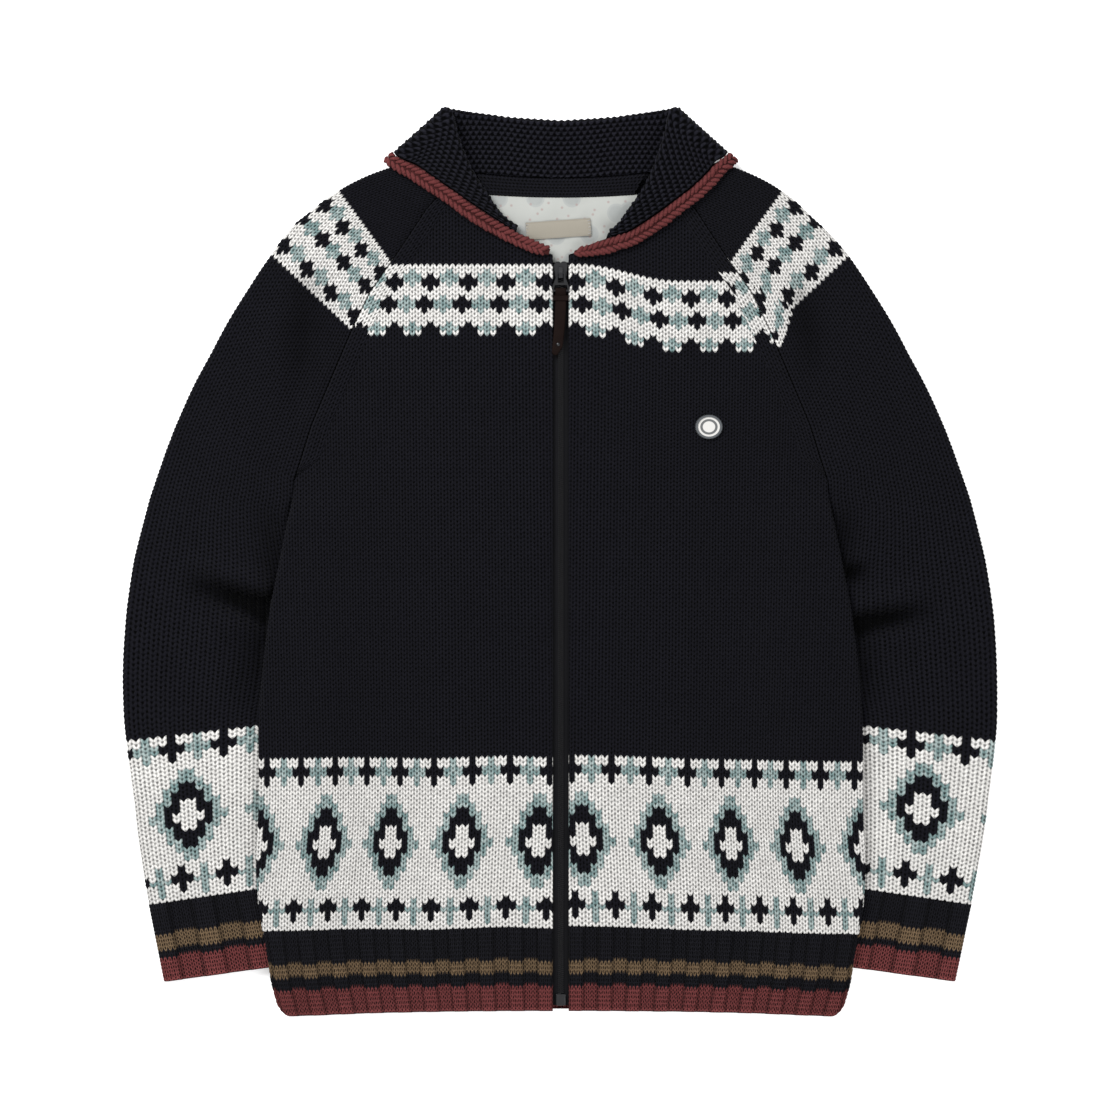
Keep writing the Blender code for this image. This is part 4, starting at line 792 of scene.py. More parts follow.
def yoke_chart(wale, row, cross_wale, shift, spare):
    """The band round the yoke: three lines of crosses, the middle one shifted, over spare rows."""
    chart = np.ones(wale.shape, int)
    up = row - spare
    crosses(chart, wale, up, cross_wale, (10, 13), (11, 12), (11, 14), (12, 13))
    crosses(chart, wale, up, cross_wale + shift, (5, 8), (6, 7), (5, 8), (6, 7))
    if spare:
        crosses(chart, wale, row, cross_wale, (1, 4), (2, 3), (2, 5), (3, 4))
    else:
        crosses(chart, wale, row, cross_wale, (-1, 2), (1, 1), (0, 2), (1, 1))
        chart[((wale - cross_wale) % 6 % 4 == 1) & (row <= 1)] = 0
    return chart


def picture(chart):
    """A chart as text, its highest row first: # navy, . white and o sage."""
    return "\n".join("".join("#.o"[colour] for colour in row) for row in chart[::-1])


print(picture(band_chart(*np.meshgrid(np.arange(25), np.arange(BAND_ROWS)), 1, 3, 7)))

# %% [markdown]
# ## Fronts and back
# A front is one knitted piece. Its wales run straight up from the welt, its side turns round the fold
# at the body's edge, and at the raglan seam three wales follow the seam, as in fully fashioned
# knitting. The row heights below put the two bands where they belong.

# %% Rows and wales of the body
ROW_MARKS = np.array([
    (0, WELT_TOP_Y), (BAND_ROWS, -0.1613), (BAND_ROWS + 98, 0.1839),
    (BAND_ROWS + 98 + YOKE_ROWS, 0.2414), (BAND_ROWS + 98 + YOKE_ROWS + 26, 0.3324),
])
YOKE_START = BAND_ROWS + 98
BODY_ROW_COUNT = int(ROW_MARKS[-1, 0])
# |x| in mm of wales at three levels, where a whole number is a wale's edge
WALE_MARKS = np.array([-0.72, 1.5, 7.5, 13.5, 19.5, 25.5, 31.5, 37.5, 43.5, 55.5])
WALE_LEVELS = np.array([-0.3010, -0.1613, 0.1839])
WALE_X = np.array([
    (0, 12.0, 45.2, 74.8, 106.4, 134.8, 162.9, 190.1, 218.0, 273.8),
    (0, 8.8, 41.5, 72.1, 103.6, 131.3, 158.3, 183.6, 211.4, 267.0),
    (0, 12.0, 45.1, 75.4, 106.6, 135.8, 164.5, 192.5, 220.5, 276.5),
]) / 1000
BODY_WALES = 51
# the turned-in edge along the zip and the hem: its depth, top and height in the stitch
LIP_DEPTH, LIP_TOP_Y, LIP_LEG, HEM_LEG = WALL * 0.9, 0.2494, 0.4, 0.45
FASHION_WALES, FASHION_WIDTH, FASHION_START = 3, 0.0155, 0.020
FASHION_RISE = 2
GROOVE_DEPTH, GROOVE_RUN, GROOVE_START = 0.0011, 0.0028, 0.02
LEFT_YOKE_DIP, DIP_X, DIP_RUN_X, DIP_Y, DIP_RUN_Y = 0.0135, 0.015, 0.080, 0.050, 0.130
ALLOWANCE, ALLOWANCE_DROP, BACK_LEVEL = 0.003, 0.0115, 1.1
# how far the low rows of each front lie above their bowed line, at distances from the middle
HEM_RISE_TOP_Y, HEM_RISE_RUN, HEM_RISE_START = 0.02, 0.16, 0.062
HEM_X = (0.0065, 0.045, 0.107, 0.180, 0.235, 0.255)
HEM_RISE = {
    -1: (-0.0004, 0.0012, -0.0005, 0.0022, 0.0030, 0.0030),
    1: (0.0018, 0.0012, -0.0008, -0.0006, 0.0006, 0.0006),
}


print("rows of a front", BODY_ROW_COUNT, "wales", BODY_WALES)

# %% Points of the body


def row_y(v):
    return np.interp(v, ROW_MARKS[:, 0], ROW_MARKS[:, 1])


def wale_x(u, y):
    levels = [np.interp(u, WALE_MARKS, row) for row in WALE_X]
    low = smooth(1.25 * (y - WALE_LEVELS[0]) / (WALE_LEVELS[1] - WALE_LEVELS[0]))
    high = np.clip((y - WALE_LEVELS[1]) / (WALE_LEVELS[2] - WALE_LEVELS[1]), 0, 1)
    return levels[0] + (levels[1] - levels[0]) * low + (levels[2] - levels[1]) * high


def wale_at(x):
    """The wale that a place of the yoke is in."""
    return np.interp(x, WALE_X[2], WALE_MARKS)


def level_y(x, y0, side, layer):
    """Level of a course at x: the wearer's left yoke hangs a little lower."""
    if layer or side < 0:
        return y0
    return y0 - LEFT_YOKE_DIP * smooth((x - DIP_X) / DIP_RUN_X) * smooth((y0 - DIP_Y) / DIP_RUN_Y)


def hem_rise(side, x, y, layer):
    """Small unevenness of the bands and the welt, gone at the middle of the front."""
    if layer:
        return 0 * x
    fade = smooth((HEM_RISE_TOP_Y - y) / HEM_RISE_RUN)
    return np.interp(x, HEM_X, HEM_RISE[side]) * fade * np.clip((y - WELT_BOTTOM_Y) / HEM_RISE_START, 0, 1)


def body_points(x, y0, side, layer, edge):
    """Points of a front (layer 0) or a back half (1), where x runs round the side fold to edge."""
    curl = smooth((UNDERARM_Y - y0) / CURL_RUN)
    start, run = edge - FOLD, fold_run(curl)
    x = np.minimum(x, start + run)
    share = np.clip((x - start) / run, 0, 1)
    reach, rise = soft_fold(share, curl)
    x = np.minimum(x, start) + reach
    y = y0 + bow(x) * smooth((BOW_TOP_Y - y0) / BOW_RUN) + hem_rise(side, x, y0, layer)
    if layer == 0:
        y = np.minimum(y, neckline_y(x))
        z = floor_of(x, y) + FOLD + rise + (front_height(x, y) - TUBE) * (1 - share)
    else:
        top_y = SLEEVE[0, 5]
        neck_y = back_neck_y(x)
        dip = smooth((y0 - BACK_DIP_Y) / (top_y - BACK_DIP_Y))
        y = np.minimum(y - dip * (top_y - neck_y), neck_y)
        z = floor_of(x, y) + FOLD - rise
    return np.stack([side * x, y, z], axis=-1)


def seam_groove(x, y, edge):
    """Cloth is drawn in a little beside the raglan seam."""
    near = np.exp(-((np.maximum(edge - x, 0) / GROOVE_RUN) ** 2))
    return GROOVE_DEPTH * (near * smooth((y - UNDERARM_Y) / GROOVE_START))


def body_chart(wale, row, side):
    chart = np.zeros(wale.shape, int)
    band = row < BAND_ROWS
    chart[band] = band_chart(wale, row, 1, 3, 7 if side > 0 else 6)[band]
    yoke = (row >= YOKE_START) & (row < YOKE_START + YOKE_ROWS)
    chart[yoke] = yoke_chart(wale, row - YOKE_START, 1, 1, 0)[yoke]
    return chart

# %% Edges and seams of the body


def corners_any(mask):
    """The cells that have a corner where the mask holds."""
    return mask[:-1, :-1] | mask[:-1, 1:] | mask[1:, 1:] | mask[1:, :-1]


def fashion_width(y):
    return FASHION_WIDTH * smooth((y - UNDERARM_Y) / FASHION_START)


def faces_down(side, layer):
    """True where the faces of a net have to be turned over."""
    return (side < 0) != (layer == 1)


def with_lip(points, kept, uv, colours, leg, lip_kept, lip_colours):
    """Adds a turned-in edge beside the first column of points, where the front meets the zip."""
    lip = points[:, :1] - (0, 0, LIP_DEPTH)
    return (
        np.concatenate([lip, points], axis=1),
        np.concatenate([lip_kept, kept], axis=1),
        np.concatenate([uv[:, :1] - (0.5, 0), uv], axis=1),
        np.concatenate([lip_colours, colours], axis=1),
        np.concatenate([leg[:, :1] * 0 + LIP_LEG, leg], axis=1),
    )

# %% Nets of the body


def body_net(name, side, layer, columns):
    """The straight wales of a front or of half the back."""
    u, v, shifted = stitch_net(columns_of(-1, BODY_WALES, columns), BODY_ROW_COUNT)
    y0 = row_y(shifted)
    x = wale_x(u, y0)
    y0 = level_y(x, y0, side, layer)
    edge = edge_x(y0, layer)
    inner = ZIP_EDGE_X if layer == 0 else 0.0
    curl = smooth((UNDERARM_Y - y0) / CURL_RUN)
    limit = edge - fashion_width(y0) + FOLD * (math.pi / 2 - 1) * curl
    free = (x > inner) & (x < limit)
    x = np.clip(x, inner, limit)
    points = body_points(x, y0, side, layer, edge)
    top = neckline_y(np.abs(points[..., 0])) if layer == 0 else SLEEVE[0, 5]
    free &= points[..., 1] < top - 1e-6
    colours = body_chart(*chart_place(u, v), side)
    leg = strand_height(u, v)
    kept = corners_any(free)
    uv = np.stack([u, v], axis=-1)
    if layer == 0:
        below_neck = points[1:, :1, 1] < LIP_TOP_Y
        first = colours[:, len(columns):len(columns) + 1]
        points, kept, uv, colours, leg = with_lip(points, kept, uv, colours, leg, below_neck, first)
    flip = faces_down(side, layer)
    return add_piece(name, quad_mesh(name, points, kept, uv, colours, leg, flip), knit_yarn)


def fashion_net(name, side, layer, columns):
    """The three wales that follow the raglan seam."""
    u, v, shifted = stitch_net(columns_of(0, FASHION_WALES, columns), BODY_ROW_COUNT)
    level = row_y(shifted)
    x = edge_x(level, layer)
    # a course's level depends on x and the seam's x on the level, so both are found in a few rounds
    for _ in range(4):
        y0 = level_y(x, level, side, layer)
        edge = edge_x(np.maximum(y0, UNDERARM_Y) + 1e-9, layer)
        x = edge - SEAM - (1 - u / FASHION_WALES) * fashion_width(y0)
    free = (y0 > UNDERARM_Y) & (y0 < SLEEVE[0, 1 + 4 * layer])
    y0 = np.clip(y0, UNDERARM_Y, SLEEVE[0, 1 + 4 * layer])
    points = body_points(x, y0, side, layer, edge)
    if layer == 0:
        points[..., 2] -= seam_groove(x, y0, edge)
    _, row = chart_place(u, v)
    found = np.floor(wale_at((x[:-1, :-1] + x[1:, 1:]) / 2)).astype(int)
    colours = body_chart(found, row - (FASHION_RISE if side > 0 and layer == 0 else 0), side)
    leg = strand_height(u, v)
    flip = faces_down(side, layer)
    mesh = quad_mesh(name, points, corners_any(free), np.stack([u, v], -1), colours, leg, flip)
    return add_piece(name, mesh, knit_yarn)


def underarm_net(side):
    """The back's seam allowance, which closes the pinhole just below the raglan seam's end."""
    spread = (-ALLOWANCE, 0, ALLOWANCE)
    across, along = np.meshgrid(spread, spread)
    x, y = side_x(UNDERARM_Y - ALLOWANCE_DROP) + across, UNDERARM_Y - ALLOWANCE_DROP + along
    points = np.stack([side * x, y, floor_of(x, y) + FOLD], axis=-1)
    beside_hole, unlifted = np.full(x.shape, 0.25), np.full(x.shape, BACK_LEVEL)
    kept = np.ones((2, 2), bool)
    uv = np.stack([beside_hole, beside_hole], -1)
    return add_piece("corner", quad_mesh("corner", points, kept, uv, kept * 0, unlifted, side < 0), knit_yarn)

# %% Knitting the fronts and the back
STITCH_DEPTH = 0.0013


def knitted(piece, yarn_material, depth=STITCH_DEPTH, level=0.45, uneven=0.0009, patch=0.035, seed=1.0):
    settings = {
        "Stitch Depth": depth, "Level": level, "Unevenness": uneven,
        "Patch Size": patch, "Seed": seed, "Yarn": yarn_material,
    }
    return grown(piece, RELIEF, settings)


def triangles(piece):
    piece.data.calc_loop_triangles()
    return len(piece.data.loop_triangles)


def declare_cloth(piece, flat, area):
    print(piece.name, "triangles", triangles(piece), "cut", flat, "area", area)


for side, hand in HANDS:
    parts = [body_net("net", side, 0, FINE), fashion_net("edge net", side, 0, FINE)]
    front = knitted(joined("knitted_front_" + hand, parts), knit_yarn, seed=2.0 + side)
    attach(front, "cardigan")
    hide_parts("front_" + hand)
    declare_cloth(front, (0.250, 0.605), 0.126)

parts = [net("net", side, 1, COARSE) for side in (1, -1) for net in (body_net, fashion_net)]
parts += [underarm_net(side) for side in (1, -1)]
back = knitted(joined("knitted_back", parts), knit_yarn, level=BACK_LEVEL, uneven=0.0, seed=5.0)
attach(back, "cardigan")
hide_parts("back_panel")
declare_cloth(back, (0.510, 0.615), 0.262)

# %% [markdown]
# ## Sleeves
# A sleeve is one piece folded round, its two edges joined on the inner side. Counted from the outer
# fold, wales go over the top to the inner edge and back underneath. The rows cross it as the rows of
# its outline do, so they fan out at the elbow. Near the neck the wales end at the raglan seam.

# %% Rows and wales of a sleeve
# wales from the outer fold to the inner edge
SLEEVE_WALES = {1: 19, -1: 20}
SLEEVE_CROSS, SLEEVE_DIAMOND = {1: 9, -1: 5}, {1: 8, -1: 7}
YOKE_CROSS, YOKE_SHIFT, YOKE_SPARE = 1, -1, 3
NARROW_WALE = 0.00375
YOKE_PLACES = (5, 3)
ELBOW_ROWS, TOP_ROWS = 106, 24
marks = (LAST_ROW, 16, *YOKE_PLACES, 0)
counts = np.cumsum([0, BAND_ROWS, ELBOW_ROWS, SLEEVE_YOKE_ROWS, TOP_ROWS])
SLEEVE_ROW_COUNT = int(counts[-1])
run_at_marks = np.interp(marks, FINE_PLACES, SLEEVE_RUN)


def place_of(v):
    run = np.interp(v, counts, run_at_marks)
    return np.interp(run, SLEEVE_RUN, FINE_PLACES)


# how far in mm each sleeve's outer fold lies beyond its outline, by level
OUT_Y = (
    -0.345, -0.250, -0.200, -0.147, -0.098, -0.049, 0.000, 0.049, 0.098, 0.170, 0.220, 0.245, 0.270, 0.300,
    0.318,
)
OUT = {
    -1: (3.4, 2.2, 0.8, 1.8, 3.4, 4.4, 5.0, 3.8, 0.0, -0.4, 2.4, 4.6, 8.6, 2.0, 2.5),
    1: (1.6, 1.5, 1.5, 2.0, 1.9, 3.1, 3.3, 2.4, -1.4, -2.0, 1.0, 3.0, 4.4, 1.2, 3.4),
}


print("rows of a sleeve", SLEEVE_ROW_COUNT)

# %% Points round a sleeve


def tube_points(side, u, place, wales, rows_of=sleeve_row, height=sleeve_height):
    """Points round a flattened tube: u is 0 at the outer fold, positive on top and negative below."""
    inner_x, inner_y, outer_x, outer_y, back_x, back_y = rows_of(place)
    out = np.interp(outer_y, OUT_Y, OUT[side]) / 1000 / np.hypot(outer_x - inner_x, outer_y - inner_y)
    outer_x, outer_y = outer_x + out * (outer_x - inner_x), outer_y + out * (outer_y - inner_y)
    top = u >= 0
    from_x, from_y = np.where(top, inner_x, back_x), np.where(top, inner_y, back_y)
    length = np.hypot(outer_x - from_x, outer_y - from_y)
    along_x, along_y = (outer_x - from_x) / length, (outer_y - from_y) / length
    curl = smooth(place - UNDERARM_ROW)
    quarter = math.pi / 2 * FOLD
    inner_run = fold_run(curl)
    flat = length - SEAM - 2 * FOLD
    whole = quarter + flat + inner_run
    width = np.maximum(whole / wales, NARROW_WALE)
    run = np.abs(u) * width
    free = run < whole
    run = np.minimum(run, whole)
    outer_turn = np.minimum(run / FOLD, math.pi / 2)
    share = np.clip((run - quarter - flat) / inner_run, 0, 1)
    distance = FOLD * (1 - np.cos(outer_turn)) + np.clip(run - quarter, 0, flat)
    inner_reach, inner_rise = soft_fold(share, curl)
    distance += inner_reach
    x, y = outer_x - along_x * distance, outer_y - along_y * distance
    floor = np.where(place < NECK_ROW, neck_lift(x, y), 0.0)
    rise = np.where(share > 0, inner_rise, FOLD * np.sin(outer_turn))
    swell = height(side, 1 - distance / length, place, x, y) - TUBE
    swell = swell * np.sin(outer_turn) ** 2 * (1 - share)
    z = floor + FOLD + np.where(top, rise + swell, -rise)
    groove = GROOVE_DEPTH * np.exp(-(((whole - run) / GROOVE_RUN) ** 2)) * (1 - curl)
    z -= np.where(top, groove, 0)
    return np.stack([side * x, y, z], axis=-1), free


def sleeve_chart(side, wale, row):
    chart = np.zeros(wale.shape, int)
    band = row < BAND_ROWS
    diamond_row = DIAMOND_ROW + (side > 0)
    chart[band] = band_chart(wale, row, SLEEVE_CROSS[side], SLEEVE_DIAMOND[side], 7, diamond_row)[band]
    yoke_row = row - BAND_ROWS - ELBOW_ROWS
    yoke = (yoke_row >= 0) & (yoke_row < SLEEVE_YOKE_ROWS)
    chart[yoke] = yoke_chart(wale, yoke_row, YOKE_CROSS, YOKE_SHIFT, YOKE_SPARE)[yoke]
    return chart


def round_columns(wales):
    """Columns from the inner edge over the top, round the outer fold and back underneath."""
    return np.concatenate([columns_of(0, wales, FINE)[::-1], -columns_of(0, wales, COARSE)[1:]])

# %% Knitting the sleeves
# beside the wearer's left raglan seam the yoke's band is pulled down, its lower edge by this many rows
YOKE_PULL, YOKE_PULL_REACH = {1: 5, -1: 0}, 0.030
MOST_PAINTED_SHADE = 0.9     # of the light in a deep crease


def knit_sleeve(side, hand):
    wales = SLEEVE_WALES[side]
    u, v, shifted = stitch_net(round_columns(wales), SLEEVE_ROW_COUNT)
    points, free = tube_points(side, u, place_of(shifted), wales)
    wale, row = chart_place(u, v)
    from_seam = (side * points[..., 0] - seam_x(points[..., 1]))[:-1, :-1]
    up_band = np.clip((row - BAND_ROWS - ELBOW_ROWS) / SLEEVE_YOKE_ROWS, 0, 1)
    pulled = YOKE_PULL[side] * (1 - up_band) * smooth(1 - from_seam / YOKE_PULL_REACH) * (wale >= 0)
    colours = sleeve_chart(side, wale, row + np.round(pulled).astype(int))
    leg = strand_height(u, v)
    name = "knitted_sleeve_" + hand
    # painted shade: the sleeve's colours are darkened along its deep creases and hollows, by at most nine
    # tenths
    painted_darkness = crease_height(side, side * points[..., 0], points[..., 1], PAINTED_CREASE_SHADE)
    shade = 1 - np.clip(painted_darkness, 0, MOST_PAINTED_SHADE)
    mesh = quad_mesh(name, points, corners_any(free), np.stack([u, v], -1), colours, leg, side < 0, shade)
    return knitted(add_piece(name, mesh, knit_yarn), knit_yarn, level=0.75, uneven=0.0006, seed=8.0 + side)


for side, hand in HANDS:
    sleeve = knit_sleeve(side, hand)
    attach(sleeve, "cardigan")
    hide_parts("sleeve_" + hand)
    declare_cloth(sleeve, (0.300, 0.640), 0.140)

# %% [markdown]
# ## Ribs
# Welts and cuffs are ribbed: a few wales that show the V side stand up, then a few that show the
# bumpy purl side lie lower. Where a stripe starts, the purl side shows both colours in turn. The rows
# are worked out like those of the body and the sleeves, with the rib's height added.

# %% Ribs
RIB_ROWS = 20
RIB_PERIOD, CUFF_RIB_PERIOD, RIB_HEIGHT = 0.0245, 0.0283, 0.0012
WELT_RIB_WALES, CUFF_RIB_WALES = 8, 10
TUCK, CUFF_TUCK, TUCK_DEPTH = 0.0022, 0.034, 0.0012
HEM_DROP, CORNER_ROUNDING, CORNER_FROM = 0.0038, 0.0060, 0.78
SPARE_RUN, BACK_RIB_STRETCH, NEAR_TOP = 0.012, 1.03, 0.25
TUCK_SHARPNESS, LEFT_HEM_SHARE = 30, 0.4
# painted light and shade of the ribs: how much lighter they are made, how much darker the purl part and the
# grooves, and the grooves' width
RIB_LIGHT, PURL_LOSS, LINE_LOSS, LINE_WIDTH = 1.16, 0.18, 0.58, 0.045
# how far down each stripe ends, as a share of the rows, and its colour
WELT_STRIPES = ((0.40, 5), (0.55, 3), (0.70, 5), (1.01, 4))
CUFF_STRIPES = ((0.39, 5), (0.60, 3), (0.72, 5), (1.01, 4))


def rib_rise(turn):
    """1 on the knit part of a rib and 0 on its purl part, for the share of the period."""
    turn = turn % 1
    return smooth((turn - 0.96) / 0.08) + 1 - smooth((turn - 0.42) / 0.10)


def rib_net(columns, rows, period_wales):
    """Like a net of stitches, but only the knit part of each rib is made of Vs."""
    u, v = np.meshgrid(columns, np.arange(2 * rows + 1) / 2)
    knit = (u % period_wales) < period_wales / 2
    shifted = v + np.where(knit, 1.5, 1.1) * np.interp(u % 1, FOOT, SHIFT) * smooth(v / 1.5)
    bumps = ridge_of(v) * (0.72 + 0.28 * np.cos(2 * math.pi * (u + 0.5 * np.floor(v))))
    leg = np.where(knit, strand_height(u, v), 0.5 * bumps + 0.5 * strand_height(u, v))
    return u, v, shifted, leg


def rib_shade(u, period_wales):
    """Painted light and shade of the ribs: the colour is lighter where they stand up, and darker on the purl
    part and in the grooves between knit and purl.
    """
    turn = (u % period_wales) / period_wales
    from_line = np.abs((turn + 0.25) % 0.5 - 0.25)
    return RIB_LIGHT - PURL_LOSS * (turn > 0.5) - LINE_LOSS * np.exp(-((from_line / LINE_WIDTH) ** 2))

# %% Stripes


def stripe_colours(u, v, rows, period_wales, stripes):
    wale, row = chart_place(u, v)
    down = rows - 1 - row
    purl = (wale % period_wales) >= period_wales / 2
    dash = np.abs((u[:-1, :-1] + u[1:, 1:]) / 2 % 1 - 0.5) < 0.27
    colours = np.zeros(wale.shape, int)
    for end, colour in reversed(stripes):
        colours[(down + 0.5) / rows < end] = colour
    for (end, _), (_, below) in zip(stripes, stripes[1:]):
        colours[purl & dash & (down == round(end * rows) - 1)] = below
    return colours


print("stripes of a welt", len(WELT_STRIPES), "and of a cuff", len(CUFF_STRIPES))

# %% Points of a welt


def welt_points(side, x, share, layer, edge, rise):
    y0 = WELT_TOP_Y + share * (WELT_BOTTOM_Y - WELT_TOP_Y)
    start = edge - FOLD - CORNER_ROUNDING * np.clip((share - CORNER_FROM) / (1 - CORNER_FROM), 0, 1) ** 3
    quarter = math.pi / 2 * FOLD
    x = np.clip(x, ZIP_EDGE_X if layer == 0 else 0, start + quarter)
    turn = np.clip((x - start) / FOLD, 0, math.pi / 2)
    x = np.minimum(x, start) + FOLD * np.sin(turn)
    y = y0 + bow(x) - HEM_DROP * np.clip(share, 0, 1)
    y += hem_rise(side, x, y0, layer) * (LEFT_HEM_SHARE if side > 0 else 1)
    lift = fold_rise(turn)
    flatness = 1 - turn / (math.pi / 2)
    if layer == 0:
        swell = front_height(x, y) - TUBE + (rise - 0.5) * RIB_HEIGHT
        z = floor_of(x, y) + FOLD + lift + swell * flatness
        z -= TUCK_DEPTH * smooth(-share * TUCK_SHARPNESS)
    else:
        z = floor_of(x, y) + FOLD - lift
    return np.stack([side * x, y, z], axis=-1)


def with_hem(points, kept, uv, colours, leg, up):
    """Adds a turned-in edge under the first row of points."""
    leg = leg.copy()
    leg[:1] = HEM_LEG
    edge = points[:1].copy()
    edge[..., 2] -= up * LIP_DEPTH
    edge[..., 1] += SEAM
    return (
        np.concatenate([edge, points]),
        np.concatenate([kept[:1], kept]),
        np.concatenate([uv[:1] - (0, 0.5), uv]),
        np.concatenate([colours[:1], colours]),
        np.concatenate([leg[:1] * 0 + LIP_LEG, leg]),
    )

# %% Knitting the welts


def knit_welt(name, side, layer, columns):
    reference = side_x(WELT_TOP_Y) - ZIP_EDGE_X - FOLD
    wale = RIB_PERIOD / WELT_RIB_WALES
    last = math.ceil((reference + SPARE_RUN) / wale)
    u, v, shifted, leg = rib_net(columns_of(0, last, columns), RIB_ROWS, WELT_RIB_WALES)
    share = 1 - np.clip(shifted, 0, RIB_ROWS) / RIB_ROWS
    tucked = (v > RIB_ROWS - NEAR_TOP) * TUCK / (WELT_TOP_Y - WELT_BOTTOM_Y)
    share = share - tucked
    level = WELT_TOP_Y + share * (WELT_BOTTOM_Y - WELT_TOP_Y)
    edge = side_x(level + bow(BOW_HALF_WIDTH))
    start = ZIP_EDGE_X if layer == 0 else 0.0
    scale = (edge - ZIP_EDGE_X - FOLD) / reference
    x = start + u * wale * scale * (1 if layer == 0 else BACK_RIB_STRETCH)
    points = welt_points(side, x, share, layer, edge, rib_rise(u / WELT_RIB_WALES))
    free = x <= edge - FOLD + math.pi / 2 * FOLD
    colours = stripe_colours(u, v, RIB_ROWS, WELT_RIB_WALES, WELT_STRIPES)
    uv = np.stack([u, v], -1)
    kept = corners_any(free)
    points, kept, uv, colours, leg = with_hem(points, kept, uv, colours, leg, 1 if layer == 0 else -1)
    if layer == 0:
        whole = np.ones((len(kept), 1), bool)
        points, kept, uv, colours, leg = with_lip(points, kept, uv, colours, leg, whole, colours[:, :1])
    flip = faces_down(side, layer)
    shade = rib_shade(uv[..., 0], WELT_RIB_WALES)
    return add_piece(name, quad_mesh(name, points, kept, uv, colours, leg, flip, shade), rib_yarn)


for side, hand in HANDS:
    welt = knitted(knit_welt("ribbed_welt_" + hand, side, 0, FINE), rib_yarn, depth=0.0011, uneven=0.0004)
    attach(welt, "cardigan")
    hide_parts("welt_" + hand)
    declare_cloth(welt, (0.240, 0.066), None)
halves = [knit_welt("half welt", side, 1, COARSE) for side in (1, -1)]
welt = knitted(joined("ribbed_welt_back", halves), rib_yarn, depth=0.0011, level=1.1, uneven=0.0)
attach(welt, "cardigan")
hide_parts("welt_back")
declare_cloth(welt, (0.490, 0.066), None)

# %% Knitting the cuffs
CUFF_TOP = SLEEVE[-1, :4]


def cuff_rows(share):
    """The cuff's outline, where the place is past the sleeve's last row by the share of its length."""
    share = share - LAST_ROW
    found = [CUFF_TOP[k] + (CUFF_BOTTOM[k] - CUFF_TOP[k]) * share for k in range(4)]
    return [*found, found[0], found[1]]


def knit_cuff(side, hand):
    wales = round((CUFF_WIDTH + 2 * (math.pi / 2 - 1) * FOLD) / (CUFF_RIB_PERIOD / CUFF_RIB_WALES))
    u, v, shifted, leg = rib_net(round_columns(wales), RIB_ROWS, CUFF_RIB_WALES)
    place = LAST_ROW + 1 - np.clip(shifted, 0, RIB_ROWS) / RIB_ROWS
    place = place - (v > RIB_ROWS - NEAR_TOP) * CUFF_TUCK
    tucked = smooth((LAST_ROW - place) * TUCK_SHARPNESS)

    def ribbed(side, share, place, x, y):
        rise = (rib_rise(u / CUFF_RIB_WALES) - 0.5) * RIB_HEIGHT
        return TUBE - RIB_HEIGHT / 2 + rise - TUCK_DEPTH * tucked

    points, free = tube_points(side, u, place, wales, cuff_rows, ribbed)
    leg = np.where(u < 0, leg * 0.6, leg)
    colours = stripe_colours(u, v, RIB_ROWS, CUFF_RIB_WALES, CUFF_STRIPES)
    uv, kept = np.stack([u, v], -1), corners_any(free)
    name = "ribbed_cuff_" + hand
    mesh = quad_mesh(name, points, kept, uv, colours, leg, side < 0, rib_shade(u, CUFF_RIB_WALES))
    print(name, "wales", wales)
    return knitted(add_piece(name, mesh, rib_yarn), rib_yarn, depth=0.0009, level=0.75, uneven=0.0003)


for side, hand in HANDS:
    cuff = knit_cuff(side, hand)
    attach(cuff, "cardigan")
    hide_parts("cuff_" + hand)
    declare_cloth(cuff, (0.225, 0.066), None)

# %% [markdown]
# ## The collar
# The collar is knitted in garter stitch along its length: ridges of bumps that run from one front
# end round the neck to the other. It stands up from the neck seam and rolls over, so its fall lies
# on the fronts and, at the back, under the neck. Its section is worked out at each station as the
# solid's is, then drawn through the stations as a smooth curve.

# %% The collar's stations
ROLL, ROLL_SHARE, EDGE_LEG = 0.0030, 0.05, 0.5
CORNER_START_X, CORNER_RUN = 0.045, 0.045
CORNER_DEGREES, CORNER_OUT = (60, 30, 0, -30, -60), (0.66, 0.75, 0.0)
COLLAR_GAP, STAND_SPREAD, TRIM_THICKNESS = 0.0005, 0.0036, 0.0042
# at each station the neck seam, roll, edge of the fall and outer edge of the trim, each x and y
COLLAR_WEARERS_RIGHT = [
    (0.0370, 0.2622, 0.0352, 0.2737, 0.0410, 0.2702, 0.0448, 0.2598),
    (0.0430, 0.2655, 0.0420, 0.2778, 0.0485, 0.2752, 0.0520, 0.2630),
    (0.0540, 0.2750, 0.0510, 0.2870, 0.0610, 0.2832, 0.0660, 0.2707),
    (0.0630, 0.2850, 0.0585, 0.2985, 0.0745, 0.2922, 0.0800, 0.2797),
    (0.0720, 0.2960, 0.0660, 0.3090, 0.0880, 0.3017, 0.0950, 0.2910),
    (0.0830, 0.3025, 0.0750, 0.3255, 0.1040, 0.3127, 0.1110, 0.3012),
    (0.0900, 0.3060, 0.0835, 0.3480, 0.1180, 0.3222, 0.1255, 0.3110),
    (0.0955, 0.3150, 0.0880, 0.3625, 0.1260, 0.3255, 0.1330, 0.3155),
]
